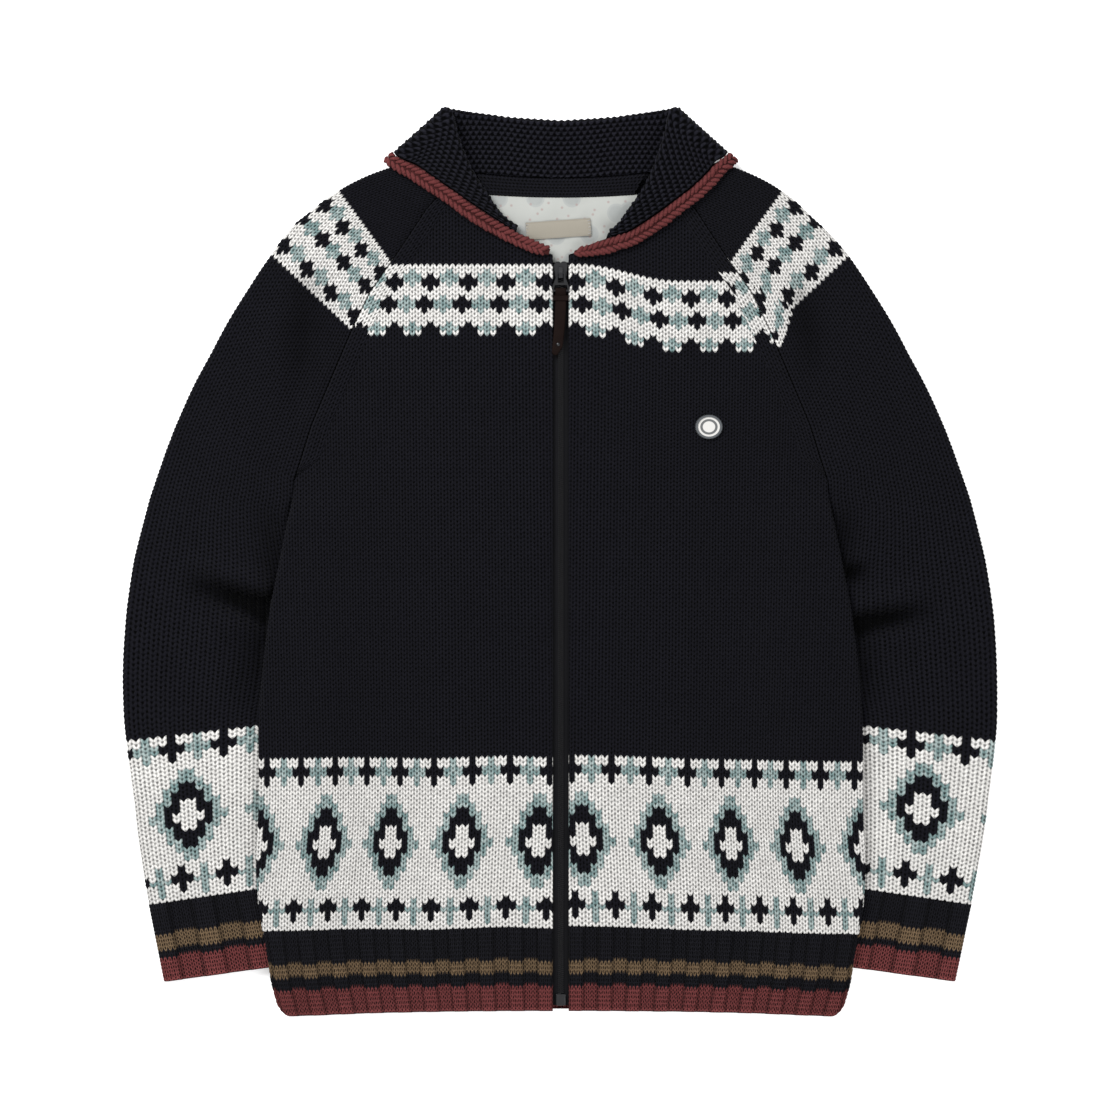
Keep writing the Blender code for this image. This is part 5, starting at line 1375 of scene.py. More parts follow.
COLLAR_WEARERS_LEFT = [
    (0.0370, 0.2622, 0.0400, 0.2702, 0.0452, 0.2650, 0.0497, 0.2528),
    (0.0430, 0.2655, 0.0460, 0.2745, 0.0530, 0.2672, 0.0580, 0.2552),
    (0.0540, 0.2750, 0.0530, 0.2840, 0.0660, 0.2745, 0.0710, 0.2622),
    (0.0630, 0.2850, 0.0600, 0.2940, 0.0790, 0.2832, 0.0845, 0.2712),
    (0.0720, 0.2960, 0.0680, 0.3060, 0.0920, 0.2927, 0.0980, 0.2820),
    (0.0830, 0.3025, 0.0760, 0.3235, 0.1070, 0.3042, 0.1135, 0.2935),
    (0.0900, 0.3060, 0.0840, 0.3480, 0.1195, 0.3162, 0.1270, 0.3060),
    (0.0955, 0.3150, 0.0880, 0.3625, 0.1265, 0.3240, 0.1335, 0.3135),
]
COLLAR_CORNER = (0.0965, 0.3193, 0.0900, 0.3642, 0.1318, 0.3270, 0.1390, 0.3190)
COLLAR_BACK = [
    (0.0760, 0.3172, 0.0760, 0.3672, 0.0960, 0.3165, 0.1030, 0.3090),
    (0.0500, 0.3142, 0.0500, 0.3652, 0.0560, 0.3090, 0.0580, 0.2992),
    (0.0250, 0.3126, 0.0250, 0.3622, 0.0270, 0.3055, 0.0275, 0.2957),
    (0.0000, 0.3120, 0.0000, 0.3610, 0.0000, 0.3045, 0.0000, 0.2945),
]
# where the trim goes on past the collar: inner and outer edge, each x and y
TRIM_FRONT_END = {
    -1: (
        (0.0085, 0.2540, 0.0100, 0.2485), (0.0200, 0.2600, 0.0225, 0.2500), (0.0300, 0.2652, 0.0330, 0.2542),
    ),
    1: (
        (0.0110, 0.2525, 0.0120, 0.2480), (0.0240, 0.2580, 0.0270, 0.2480), (0.0360, 0.2625, 0.0390, 0.2492),
    ),
}

# %% The collar's section


def unit(vector):
    return vector / np.linalg.norm(vector)


def collar_stations(side):
    fronts = COLLAR_WEARERS_LEFT if side > 0 else COLLAR_WEARERS_RIGHT
    up = np.array([0.0, 0.0, 1.0])
    stations = [(row, up, up) for row in fronts]
    outwards = np.array([1.0, 0.0, 0.0]), unit(np.array(CORNER_OUT))
    for degrees in CORNER_DEGREES:
        angle = math.radians(degrees)
        turned = [math.cos(angle) * out + math.sin(angle) * up for out in outwards]
        stations.append((COLLAR_CORNER, *turned))
    return stations + [(row, -up, -up) for row in COLLAR_BACK]


def roll_radius(row):
    width = math.hypot(row[4] - row[2], row[5] - row[3])
    return min(ROLL, WALL / 2 + SEAM + ROLL_SHARE * width)


def collar_levels(row):
    """Levels of the section's six points on the side that faces up, and on the other."""
    seam_x_, seam_y_, roll_x, roll_y, rim_x, rim_y, trim_x, trim_y = row
    roll_back = WALL / 2 + 2 * ROLL
    roll_top = float(floor_of(roll_x, roll_y)) + TUBE + SEAM - WALL / 2
    near_corner = float(smooth((roll_x - CORNER_START_X) / CORNER_RUN))
    roll_top += near_corner * (roll_back + 2 * STAND_SPREAD - roll_top)
    edge_top = float(top_surface(rim_x, rim_y)) + SEAM + WALL / 2
    strip_top = edge_top + (TRIM_THICKNESS - WALL) / 2
    strip_back = TRIM_THICKNESS / 2
    tops = np.array([
        float(top_surface(seam_x_, seam_y_)) - WALL / 2, roll_top, roll_top + 2 * roll_radius(row),
        edge_top, strip_top, float(top_surface(trim_x, trim_y)) + SEAM + TRIM_THICKNESS / 2,
    ])
    backs = np.array([NECK_LIFT + WALL / 2, roll_back, WALL / 2, WALL / 2, strip_back, strip_back])
    return tops, backs


def collar_section(station):
    """Mid-wall points and normals from the neck seam over the roll to the edge, and the trim's."""
    row, towards, fall_towards = station
    tops, backs = collar_levels(row)
    roll = roll_radius(row)
    middle, spread = (tops + backs) / 2, (tops - backs) / 2
    plans = [row[0:2], row[2:4], row[2:4], row[4:6], row[4:6], row[6:8]]
    found = []
    for index, plan in enumerate(plans):
        out = towards if index < 2 else fall_towards
        found.append(np.array([*plan, middle[index]]) + spread[index] * out)
    seam, stand_top, fall_top, edge, strip, trim = found
    rise = stand_top - seam
    rise[2] = 0
    along = unit(rise)
    stand_top = stand_top - along * (roll + WALL / 2)
    fall_top = fall_top - along * (roll + WALL / 2)
    seam = seam + along * COLLAR_GAP
    points, normals = [seam, (seam + stand_top) / 2, stand_top], [-towards] * 3
    centre, half = (stand_top + fall_top) / 2, (fall_top - stand_top) / 2
    for share in (1 / 6, 1 / 3, 1 / 2, 2 / 3, 5 / 6):
        angle = math.pi * share
        points.append(centre - half * math.cos(angle) + along * roll * math.sin(angle))
        mixed = towards * (1 - share) + fall_towards * share
        normals.append(unit(-unit(mixed) * math.cos(angle) + along * math.sin(angle)))
    points += [fall_top, (fall_top + edge) / 2, edge]
    normals += [fall_towards] * 3
    return np.array(points), np.array(normals), strip, trim

# %% A curve through the stations


def curve_through(stops, along, step):
    """Even steps along a smooth curve through rows of stops, measured by the first `along` of each."""
    stops = np.array(stops, float)
    shape = stops.shape[1:]
    flat = stops.reshape(len(stops), -1)
    spots = stops.reshape(len(stops), -1, 3)
    gaps = np.linalg.norm(np.diff(spots[:, :along], axis=0), axis=2).mean(axis=1)
    knots = np.concatenate([[0], np.cumsum(gaps + 1e-6)])
    total = knots[-1]
    count = max(int(round(total / step)), 2)
    places = np.linspace(0, total, count + 1)
    rates = np.diff(flat, axis=0) / np.diff(knots)[:, None]
    before, after = rates[:-1], rates[1:]
    same_way = before * after > 0
    between = np.where(same_way, 2 * before * after / np.where(same_way, before + after, 1), 0)
    slopes = np.concatenate([rates[:1], between, rates[-1:]])
    index = np.clip(np.searchsorted(knots, places, "right") - 1, 0, len(knots) - 2)
    width = (knots[index + 1] - knots[index])[:, None]
    share = (places - knots[index])[:, None] / width
    value = eased(share, flat[index], width * slopes[index], flat[index + 1], width * slopes[index + 1])
    return value.reshape(-1, *shape), places


def collar_sweep():
    """Points and normals of the whole collar's middle surface, from the right front to the left."""
    points, normals = [], []
    for side in (-1, 1):
        stations = collar_stations(side)
        stations = stations if side < 0 else stations[-2::-1]
        mirror = np.array([side, 1, 1])
        for station in stations:
            found, facing, _, _ = collar_section(station)
            points.append(found * mirror)
            normals.append(facing * mirror)
    return np.array(points), np.array(normals)

# %% Knitting the collar
# how far the roll is pulled up, by distance from the middle, above WARP_Y
COLLAR_WARP = (
    (0, 0.045, 0.0745, 0.088, 0.093, 0.098, 0.110),
    (0, -0.0010, 0.0014, 0.0040, 0.0034, 0.0004, 0),
)
# the collar's top edge hardly passes this level, by distance from the middle
COLLAR_TOP = (
    (0, 0.045, 0.0745, 0.088, 0.095, 0.100, 0.1096, 0.136),
    (0.3577, 0.3609, 0.3650, 0.3672, 0.3674, 0.3660, 0.3608, 0.3375),
)
WARP_Y, WARP_RUN, TOP_PULL = 0.350, 0.012, 0.85
GARTER_RIDGE, GARTER_STITCH, GARTER_ALONG, GARTER_STEPS = 0.0078, 0.0055, 0.0012, 110


def across_section(rows, step_count):
    """Even steps across each row of points, and the distance of each from the row's last point."""
    found, distances = [], []
    for row in rows:
        gaps = np.linalg.norm(np.diff(row[:, :3], axis=0), axis=1)
        run = np.concatenate([[0], np.cumsum(gaps)])
        places = np.linspace(0, run[-1], step_count + 1)
        found.append([np.interp(places, run, row[:, k]) for k in range(row.shape[1])])
        distances.append(run[-1] - places)
    return np.array(found).transpose(0, 2, 1), np.array(distances)


def garter_height(along, across):
    """Two rows of loops to a ridge: each strand waves, one up where the next goes down."""
    turn = 2 * across / GARTER_RIDGE
    wave = np.cos(2 * math.pi * (along / GARTER_STITCH + 0.5 * (np.floor(turn) % 2)))
    off_line = (turn % 1) - 0.5 - 0.24 * wave
    return np.exp(-((off_line / 0.30) ** 2)) * (0.60 + 0.40 * wave)


def knit_collar():
    middles, facings = collar_sweep()
    half = middles.shape[1]
    both, run = curve_through(np.concatenate([middles, facings], axis=1), half, GARTER_ALONG)
    rows = np.concatenate([both[:, :half], both[:, half:]], axis=2)
    points, distance = across_section(rows, GARTER_STEPS)
    from_middle = np.abs(points[..., 0])
    points[..., 1] += np.interp(from_middle, *COLLAR_WARP) * smooth((points[..., 1] - WARP_Y) / WARP_RUN)
    over = points[..., 1] - np.interp(from_middle, *COLLAR_TOP)
    points[..., 1] -= TOP_PULL * np.maximum(over, 0)
    normals = points[..., 3:] / np.linalg.norm(points[..., 3:], axis=-1, keepdims=True)
    outer = points[..., :3] + normals * WALL / 2
    along = np.broadcast_to(run[:, None], distance.shape)
    leg = garter_height(along, distance)
    inner = (points[..., :3] - normals * WALL / 2)[:, ::4]
    edge_leg = np.full(inner.shape[:2], EDGE_LEG)
    grid = np.concatenate([outer, inner[:, ::-1], outer[:, :1]], axis=1)
    legs = np.concatenate([leg, edge_leg, leg[:, :1] * 0 + EDGE_LEG], axis=1)
    uv = np.zeros(grid.shape[:2] + (2,))
    uv[..., 0] = (run / GARTER_STITCH)[:, None]
    uv[:, :distance.shape[1], 1] = distance / GARTER_RIDGE * 2
    first, last = (
        np.repeat(end.mean(axis=1, keepdims=True), grid.shape[1], axis=1) for end in (grid[:1], grid[-1:])
    )
    grid = np.concatenate([first, grid, last])
    legs = np.concatenate([legs[:1] * 0 + EDGE_LEG, legs, legs[:1] * 0 + EDGE_LEG])
    uv = np.concatenate([uv[:1], uv, uv[-1:]])
    kept = np.ones((grid.shape[0] - 1, grid.shape[1] - 1), bool)
    mesh = quad_mesh("garter_collar", grid, kept, uv, np.zeros(kept.shape, int), legs, False)
    piece = add_piece("garter_collar", cleaned(mesh, weld=True), garter_yarn)
    return knitted(piece, garter_yarn, depth=0.0013, level=0.60, uneven=0.0007, patch=0.030, seed=4.0)


collar = knit_collar()
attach(collar, "cardigan")
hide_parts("collar")
print("collar triangles", triangles(collar))

# %% [markdown]
# ## The burgundy edge
# Along the collar's edge two rows of slanting stitches are worked in burgundy, so it looks like a
# flat rope. A strip carries them, and a Geometry Nodes tree sets a stitch at each point of two lines
# along it, turned to the line and to the cloth.

# %% The strip under the trim
STRIP_START, STRIP_WIDTH, STRIP_HALF_HEIGHT = 0.04, 0.90, 0.36


def trim_sweep():
    """Inner edge, outer edge and outward direction along the whole trim."""
    rows = []
    for side in (-1, 1):
        found = []
        up = np.array([0.0, 0.0, 1.0])
        for rim_x, rim_y, trim_x, trim_y in TRIM_FRONT_END[side]:
            level = float(top_surface(trim_x, trim_y)) + SEAM + TRIM_THICKNESS / 2
            found.append([(rim_x, rim_y, level), (trim_x, trim_y, level), up])
        for station in collar_stations(side):
            _, _, strip, trim = collar_section(station)
            found.append([strip, trim, station[2]])
        found = found if side < 0 else found[-2::-1]
        rows += [np.array(stops) * (side, 1, 1) for stops in found]
    return np.array(rows)


def trim_strip(name, swept, round_steps=10):
    """The strip under the stitches: a flat tube."""
    edge, trim, out = swept[:, 0], swept[:, 1], swept[:, 2]
    out = out / np.linalg.norm(out, axis=1, keepdims=True)
    grid = []
    for angle in np.linspace(0, 2 * math.pi, round_steps + 1):
        across = 0.5 - 0.5 * math.cos(angle)
        reach = edge + (trim - edge) * (STRIP_START + STRIP_WIDTH * across)
        grid.append(reach + out * TRIM_THICKNESS * STRIP_HALF_HEIGHT * math.sin(angle))
    grid = np.array(grid).transpose(1, 0, 2)
    kept = np.ones((grid.shape[0] - 1, grid.shape[1] - 1), bool)
    uv = np.stack(np.meshgrid(np.arange(grid.shape[1]) * 0.4, np.arange(grid.shape[0]) * 0.5), -1)
    legs = np.full(grid.shape[:2], 0.3)
    colours = np.full(kept.shape, 4)
    return add_piece(name, quad_mesh(name, grid, kept, uv, colours, legs, False), trim_yarn)

# %% A strand of yarn


def loop_stitch(name, length, width, height, colour, sides=6, rings=7):
    """One strand of yarn, thick in its middle and thin at its ends, along Y with its top at +Z."""
    t = np.linspace(0, 1, rings)
    thick = np.sin(math.pi * (0.10 + 0.80 * t)) ** 0.6
    angles = np.linspace(0, 2 * math.pi, sides + 1)
    y = (t - 0.5) * length
    grid = np.stack([
        np.outer(thick, np.cos(angles)) * width / 2,
        np.repeat(y[:, None], sides + 1, axis=1),
        np.outer(thick, np.sin(angles)) * height / 2 + (np.sin(math.pi * t) * height * 0.3)[:, None],
    ], axis=-1)
    kept = np.ones((rings - 1, sides), bool)
    uv = np.stack(np.meshgrid(np.linspace(0, 1, sides + 1), t), -1)
    legs = np.repeat(thick[:, None], sides + 1, axis=1)
    mesh = quad_mesh(name, grid, kept, uv, np.full(kept.shape, colour), legs, False)
    return add_piece(name, cleaned(mesh, weld=True, fill=True), trim_yarn)

# %% A tree that sets a row of strands


def row_tree(name):
    """Sets one stitch at each point, its top along `out` and its length along `lay`."""
    tree, board, wires = new_tree(name, [
        ("Stitch", "Object"), ("Uneven Size", "Float"), ("Seed", "Int"), ("Yarn", "Material"),
    ])
    out, along = (
        board.add("GeometryNodeInputNamedAttribute", {"data_type": "FLOAT_VECTOR"}, {"Name": title})
        for title in ("out", "lay")
    )
    align = "FunctionNodeAlignRotationToVector"
    upright = board.add(align, {"axis": "Z"}, {"Vector": out})
    turned = board.add(align, {"axis": "Y", "pivot_axis": "Z"}, {"Rotation": upright, "Vector": along})
    jitter = board.add("FunctionNodeRandomValue", {"data_type": "FLOAT"}, {"Seed": wires["Seed"]}, 1)
    size = 1 + (jitter - 0.5) * wires["Uneven Size"]
    stitch = board.add("GeometryNodeObjectInfo", None, {"Object": wires["Stitch"]}, "Geometry")
    placed = board.add(
        "GeometryNodeInstanceOnPoints", None,
        {"Points": wires["Geometry"], "Instance": stitch, "Rotation": turned, "Scale": size},
    )
    close_tree(board, placed, wires["Yarn"])
    return tree


ROW_OF_STITCHES = row_tree("row of stitches")
print("nodes in the row's tree", len(ROW_OF_STITCHES.nodes))


def point_cloud(name, points, outs, lays):
    mesh = bpy.data.meshes.new(name)
    mesh.from_pydata([tuple(p) for p in points], [], [])
    for title, values in (("out", outs), ("lay", lays)):
        layer = mesh.attributes.new(title, "FLOAT_VECTOR", "POINT")
        layer.data.foreach_set("vector", np.asarray(values, np.float32).ravel())
    return add_piece(name, mesh)

# %% Trim
STRIP_STEP, TRIM_STITCH, UNDER_ROPE = 0.0015, 0.0046, 0.28
# each line of slanting stitches: share of the way across, slant and share of a stitch along
ROPE_LINES = ((0.27, 0.75, 0), (0.74, -0.75, 0.5))
stops = trim_sweep()
swept, trim_run = curve_through(stops, 2, STRIP_STEP)
strip = trim_strip("trim strip", swept)
rope_points, rope_outs, rope_lays = [], [], []
even, _ = curve_through(stops, 2, TRIM_STITCH)
tangents = np.gradient(even[:, 0] + even[:, 1], axis=0)
for across, lean, offset in ROPE_LINES:
    for k in range(1, len(even) - 1):
        edge, trim, out = even[k]
        out = unit(out)
        tangent = unit(tangents[k])
        side_way = unit(trim - edge)
        step = tangent * TRIM_STITCH * offset
        rope_points.append(edge + (trim - edge) * across + out * TRIM_THICKNESS * UNDER_ROPE + step)
        rope_outs.append(out)
        rope_lays.append(unit(tangent + side_way * lean))
rope = point_cloud("rope", rope_points, rope_outs, rope_lays)
strand = loop_stitch("strand", 0.0080, 0.0036, 0.0026, 4)
grown(rope, ROW_OF_STITCHES, {"Stitch": strand, "Uneven Size": 0.30, "Seed": 3, "Yarn": trim_yarn})
bpy.data.objects.remove(strand)
trim = joined("burgundy_trim", [strip, rope])
trim.data.shade_smooth()
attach(trim, "cardigan")
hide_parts("collar_trim")
print("trim stitches", len(rope_points), "triangles", triangles(trim))
print("trim length", round(float(trim_run[-1]), 3))

# %% [markdown]
# ## Inside the neck
# A knitted tape covers the back neck seam. Its three wales run along it, so the same net of stitches
# is laid sideways. Below it shows a little of the lining, a smooth pale cloth with a soft print of
# plain round shapes, and a woven label that is left blank, held by a few stitches at each end.

# %% Neck tape
NECK_TAPE_HALF = (0.0690, 0.0600)
NECK_TAPE_BOTTOM_Y, NECK_TAPE_RISE = 0.2966, 0.0022
TAPE_RIDGES, TAPE_ROWS, NECK_TAPE_LIFT, NECK_TAPE_ROUND = 3, 44, 0.0014, 0.0006


def tape_bottom_y(x):
    return NECK_TAPE_BOTTOM_Y + NECK_TAPE_RISE * (x / NECK_TAPE_HALF[1]) ** 2


def neck_level(x, y):
    return neck_lift(x, y) + WALL + SEAM


u, v, shifted = stitch_net(columns_of(0, TAPE_RIDGES, FINE), TAPE_ROWS)
down = u / TAPE_RIDGES
across = np.clip(shifted / TAPE_ROWS, 0, 1) * 2 - 1
x = across * (NECK_TAPE_HALF[0] + (NECK_TAPE_HALF[1] - NECK_TAPE_HALF[0]) * down)
y = back_neck_y(x) * (1 - down) + tape_bottom_y(x) * down - SEAM
z = neck_level(x, y) + NECK_TAPE_LIFT + NECK_TAPE_ROUND * np.sin(math.pi * (u % 1))
colours = np.zeros((u.shape[0] - 1, u.shape[1] - 1), int)
points, uv = np.stack([x, y, z], -1), np.stack([u, v], -1)
mesh = quad_mesh("knitted_neck_tape", points, colours == 0, uv, colours, strand_height(u, v), True)
neck_tape = knitted(add_piece("knitted_neck_tape", mesh, tape_yarn), tape_yarn, depth=0.0008, uneven=0.0)
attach(neck_tape, "cardigan")
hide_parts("neck_tape")
declare_cloth(neck_tape, (0.138, 0.016), None)

# %% Lining
# level and half width of the lining
LINING = np.array([
    (0.2320, 0.0160), (0.2500, 0.0340), (0.2620, 0.0500), (0.2800, 0.0700), (0.2985, 0.0820),
])
LINING_LIFT, LINING_FOLD = 0.0006, 0.0003


def plain_grid(name, points, material, flip=False):
    kept = np.ones((points.shape[0] - 1, points.shape[1] - 1), bool)
    uv = np.stack(np.meshgrid(np.linspace(0, 1, points.shape[1]), np.linspace(0, 1, points.shape[0])), -1)
    legs = np.zeros(points.shape[:2])
    return add_piece(name, quad_mesh(name, points, kept, uv, kept * 1, legs, flip), material)


def printed_cloth():
    """Fine white cloth with a scattered print: round shapes in soft grey, each with a small one beside. Its
    ground is greyed and its folds darkened, as painted shade inside the neck.
    """
    paint = Finish("printed lining")
    place = paint.place()
    x, y, _ = paint.split(place)
    cell = {"Vector": place, "Scale": 38.0, "Randomness": 0.9}
    near = paint.add("ShaderNodeTexVoronoi", {"voronoi_dimensions": "2D"}, cell)
    small = paint.add("ShaderNodeTexVoronoi", {"voronoi_dimensions": "2D"}, {**cell, "Scale": 88.0})
    wash = paint.noise(160, 3, 0.6)
    folds = paint.noise(26, 2, 0.4)
    soft = (1 - near.ramp(0.20, 0.30)) * (0.55 + 0.45 * wash)
    ring = (1 - (near - 0.27).size().ramp(0.0, 0.03)) * 0.35
    dots = (1 - small.ramp(0.06, 0.12)) * 0.6
    # painted shade: the white ground is given in grey, as it lies in shade inside the neck
    tint = paint.mix(soft * 0.55, (0.385, 0.395, 0.375, 1), (0.20, 0.22, 0.23, 1))
    tint = paint.mix(ring, tint, (0.24, 0.26, 0.28, 1))
    tint = paint.mix(dots, tint, (0.30, 0.21, 0.20, 1))
    # painted shade in the folds
    tint = paint.mix((folds - 0.5).ramp(0.0, 0.3) * 0.4, tint, (0.20, 0.21, 0.20, 1))
    weave = ((x * 9000).sine() * (y * 9000).sine()) * 0.5
    return paint.set(
        Base_Color=tint, Roughness=0.8, Specular_IOR_Level=0.2,
        Normal=paint.bump(folds, 0.006, 0.7, paint.bump(weave, 0.0001, 0.4)),
    )

# %% The lining's cloth
share, across = np.meshgrid(np.linspace(0, 1, 49), np.linspace(-1, 1, 97), indexing="ij")
low, high = LINING[0, 0], LINING[-1, 0]
y = low + share * (high - low)
x = across * np.interp(y, LINING[:, 0], LINING[:, 1])
y = y - share * (high - tape_bottom_y(x)) - 2 * SEAM * share
folds = LINING_FOLD * np.sin(x * 260 + y * 90) * np.sin(math.pi * share)
z = neck_level(x, y) + LINING_LIFT + folds + LINING_FOLD
lining = plain_grid("lining_cloth", np.stack([x, y, z], -1), printed_cloth())
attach(lining, "cardigan")
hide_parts("back_lining")
declare_cloth(lining, (0.164, 0.068), 0.0072)

# %% Label
LABEL_SIZE, LABEL_CENTRE, LABEL_TURN = (0.053, 0.014), (-0.0018, 0.2705), math.radians(4)
LABEL_LIFT, LABEL_BEND = WALL + 0.0005 + 4 * SEAM + 0.0006, 0.0004
LABEL_END, LABEL_END_RUN = 0.44, 0.06


def woven_label():
    paint = Finish("blank woven label")
    u, v, _ = paint.split(paint.add("ShaderNodeUVMap", {"uv_map": "stitch"}))
    ribs = ((v * 220).sine() * 0.5 + 0.5) * ((u * 900).sine() * 0.2 + 0.8)
    border = (v - 0.5).size().ramp(0.40, 0.44) * 0.25
    tint = paint.mix(ribs * 0.35 + border, (0.31, 0.285, 0.235, 1), (0.20, 0.18, 0.145, 1))
    return paint.set(Base_Color=tint, Roughness=0.75, Normal=paint.bump(ribs, 0.0002, 0.6))


def turned(x, y):
    cos, sin = math.cos(LABEL_TURN), math.sin(LABEL_TURN)
    return LABEL_CENTRE[0] + x * cos - y * sin, LABEL_CENTRE[1] + x * sin + y * cos


across, up = np.meshgrid(np.linspace(-0.5, 0.5, 41), np.linspace(-0.5, 0.5, 13))
x, y = turned(across * LABEL_SIZE[0], up * LABEL_SIZE[1])
ends = np.maximum(np.abs(across) - LABEL_END, 0) / LABEL_END_RUN
z = neck_lift(x, y) + LABEL_LIFT - LABEL_BEND * ends + LABEL_BEND * np.cos(math.pi * up)
label = plain_grid("blank_label", np.stack([x, y, z], -1), woven_label())
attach(label, "cardigan")
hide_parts("neck_label")
declare_cloth(label, (0.053, 0.014), None)

# %% The label's stitches
STITCHES_AT_END, STITCH_INSET, STITCH_STEP = 5, 0.0012, 0.0026
stitch_points, stitch_lays = [], []
for end in (-1, 1):
    for k in range(STITCHES_AT_END):
        x, y = turned(end * (LABEL_SIZE[0] / 2 - STITCH_INSET), (k - STITCHES_AT_END // 2) * STITCH_STEP)
        stitch_points.append((x, y, float(neck_lift(x, y)) + LABEL_LIFT))
        stitch_lays.append((1, 0.3 * (-1) ** k, 0))
upwards = [(0, 0, 1)] * len(stitch_points)
label_stitches = point_cloud("label_stitches", stitch_points, upwards, stitch_lays)
thread = loop_stitch("thread", 0.0030, 0.0006, 0.0005, 1, 5, 5)
grown(label_stitches, ROW_OF_STITCHES, {"Stitch": thread, "Uneven Size": 0.1, "Seed": 1, "Yarn": trim_yarn})
bpy.data.objects.remove(thread)
label_stitches.data.shade_smooth()
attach(label_stitches, "cardigan")
print("label stitches", len(stitch_points))

# %% [markdown]
# ## The zip
# The zip is an open-end one with two woven tapes sewn behind the fronts' edges. A tooth is a small
# block with a round nose that reaches past the middle, and the two rows of teeth alternate. The slider
# and the bottom box are cast metal and keep their solids. The pull is a metal link and a leather
# strap with a keeper and a stud.

# %% Metal and tape finishes


def metal(name, tint, rough, worn=0.35):
    paint = Finish(name)
    cloud = paint.noise(420, 4, 0.6)
    scratches = paint.noise(1600, 2, 0.5)
    colour = paint.mix(cloud * worn, tint, [value * 0.45 for value in tint[:3]] + [1])
    scratched = paint.bump(scratches, 0.0001, 0.25)
    return paint.set(Base_Color=colour, Metallic=1.0, Roughness=rough + 0.18 * cloud, Normal=scratched)


def woven_tape():
    paint = Finish("woven zip tape")
    x, y, _ = paint.split(paint.place())
    herring = ((y * 5200 + (x.size() * 1400).wrapped() * 6.283).sine() * 0.5 + 0.5)
    tint = paint.mix(herring, (0.0085, 0.0085, 0.0098, 1), (0.0165, 0.0165, 0.0185, 1))
    return paint.set(
        Base_Color=tint, Roughness=0.9, Normal=paint.bump(herring, 0.0002, 0.6), Specular_IOR_Level=0.04,
    )


gunmetal = metal("gunmetal", (0.055, 0.055, 0.058, 1), 0.22)
dark_teeth = metal("dark teeth", (0.052, 0.052, 0.055, 1), 0.25)
for node in ("zip_slider", "zip_pull_link", "zip_bottom_box"):
    nodes[node].data.materials[0] = gunmetal
    nodes[node].material_slots[0].material = gunmetal

print("metals", gunmetal.name, "and", dark_teeth.name)

# %% Tapes
tape_material = woven_tape()
for side, hand in HANDS:
    low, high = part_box("zip_tape_" + hand)
    inner, outer = sorted((abs(low.x), abs(high.x)))
    profile = np.array([
        (inner, low.z + 0.0001), (inner, high.z - 0.0002), (inner + 0.0003, high.z + 0.0002),
        (inner + 0.0010, high.z + 0.0003), (inner + 0.0016, high.z), (outer - 0.0002, high.z),
        (outer, low.z + 0.0001),
    ])
    levels = np.linspace(low.y, high.y, 120)
    points = np.empty((len(levels), len(profile), 3))
    points[..., 0] = side * profile[:, 0]
    points[..., 1] = levels[:, None]
    points[..., 2] = profile[:, 1]
    tape = plain_grid("woven_tape_" + hand, points, tape_material, side < 0)
    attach(tape, "cardigan")
    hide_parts("zip_tape_" + hand)
    declare_cloth(tape, (0.0165, round(high.y - low.y, 3)), None)

# %% A tooth
TOOTH_PITCH, TOOTH_LENGTH, TOOTH_WIDTH, TOOTH_HEIGHT, TOOTH_ROOT = 0.0016, 0.0026, 0.00092, 0.0018, 0.0023


def ring_faces(start, count):
    """Faces between a ring of points and the next."""
    ahead = [(k + 1) % count for k in range(count)]
    return [(start + k, start + ahead[k], start + count + ahead[k], start + count + k) for k in range(count)]


def tooth_mesh():
    """A tooth along +X from its root: five sides in plan, a flat top and a narrower crown."""
    outline = [(0, -1), (0.62, -1), (1, -0.45), (1, 0.45), (0.62, 1), (0, 1)]
    verts, count = [], len(outline)
    for level, inset in ((0, 1.0), (0.72, 1.0), (1.0, 0.62)):
        for across, half in outline:
            x = 0.5 + (across - 0.5) * (0.9 if inset < 1 else 1)
            verts.append((x * TOOTH_LENGTH, half * inset * TOOTH_WIDTH / 2, (level - 1) * TOOTH_HEIGHT))
    faces = [tuple(range(count))[::-1], tuple(range(2 * count, 3 * count))]
    faces += ring_faces(0, count) + ring_faces(count, count)
    mesh = bpy.data.meshes.new("tooth")
    mesh.from_pydata(verts, [], faces)
    return add_piece("tooth", mesh, dark_teeth)

# %% The rows of teeth
low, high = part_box("zip_chain")
points, lays = [], []
for k in range(int((high.y - low.y - TOOTH_WIDTH) / (TOOTH_PITCH / 2))):
    side = 1 if k % 2 else -1
    points.append((side * TOOTH_ROOT, low.y + TOOTH_WIDTH / 2 + k * TOOTH_PITCH / 2, high.z))
    lays.append((0, -side, 0))
teeth = point_cloud("zip_teeth", points, [(0, 0, 1)] * len(points), lays)
tooth = tooth_mesh()
grown(teeth, ROW_OF_STITCHES, {"Stitch": tooth, "Uneven Size": 0.0, "Seed": 1, "Yarn": dark_teeth})
bpy.data.objects.remove(tooth)
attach(teeth, "cardigan")
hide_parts("zip_chain")
print("teeth", len(points), "triangles", triangles(teeth))

# %% Leather


def leather():
    paint = Finish("dark leather")
    cells = {"Vector": paint.place(), "Scale": 1500.0}
    grain = paint.add("ShaderNodeTexVoronoi", {"feature": "DISTANCE_TO_EDGE"}, cells)
    cloud = paint.noise(150, 3, 0.6)
    tint = paint.mix(cloud, (0.0050, 0.0026, 0.0022, 1), (0.0110, 0.0060, 0.0050, 1))
    height = grain.ramp(0.0, 0.12) + cloud * 0.6
    return paint.set(
        Base_Color=tint, Roughness=0.5 + 0.2 * cloud, Specular_IOR_Level=0.04,
        Normal=paint.bump(height, 0.0002, 0.35),
    )


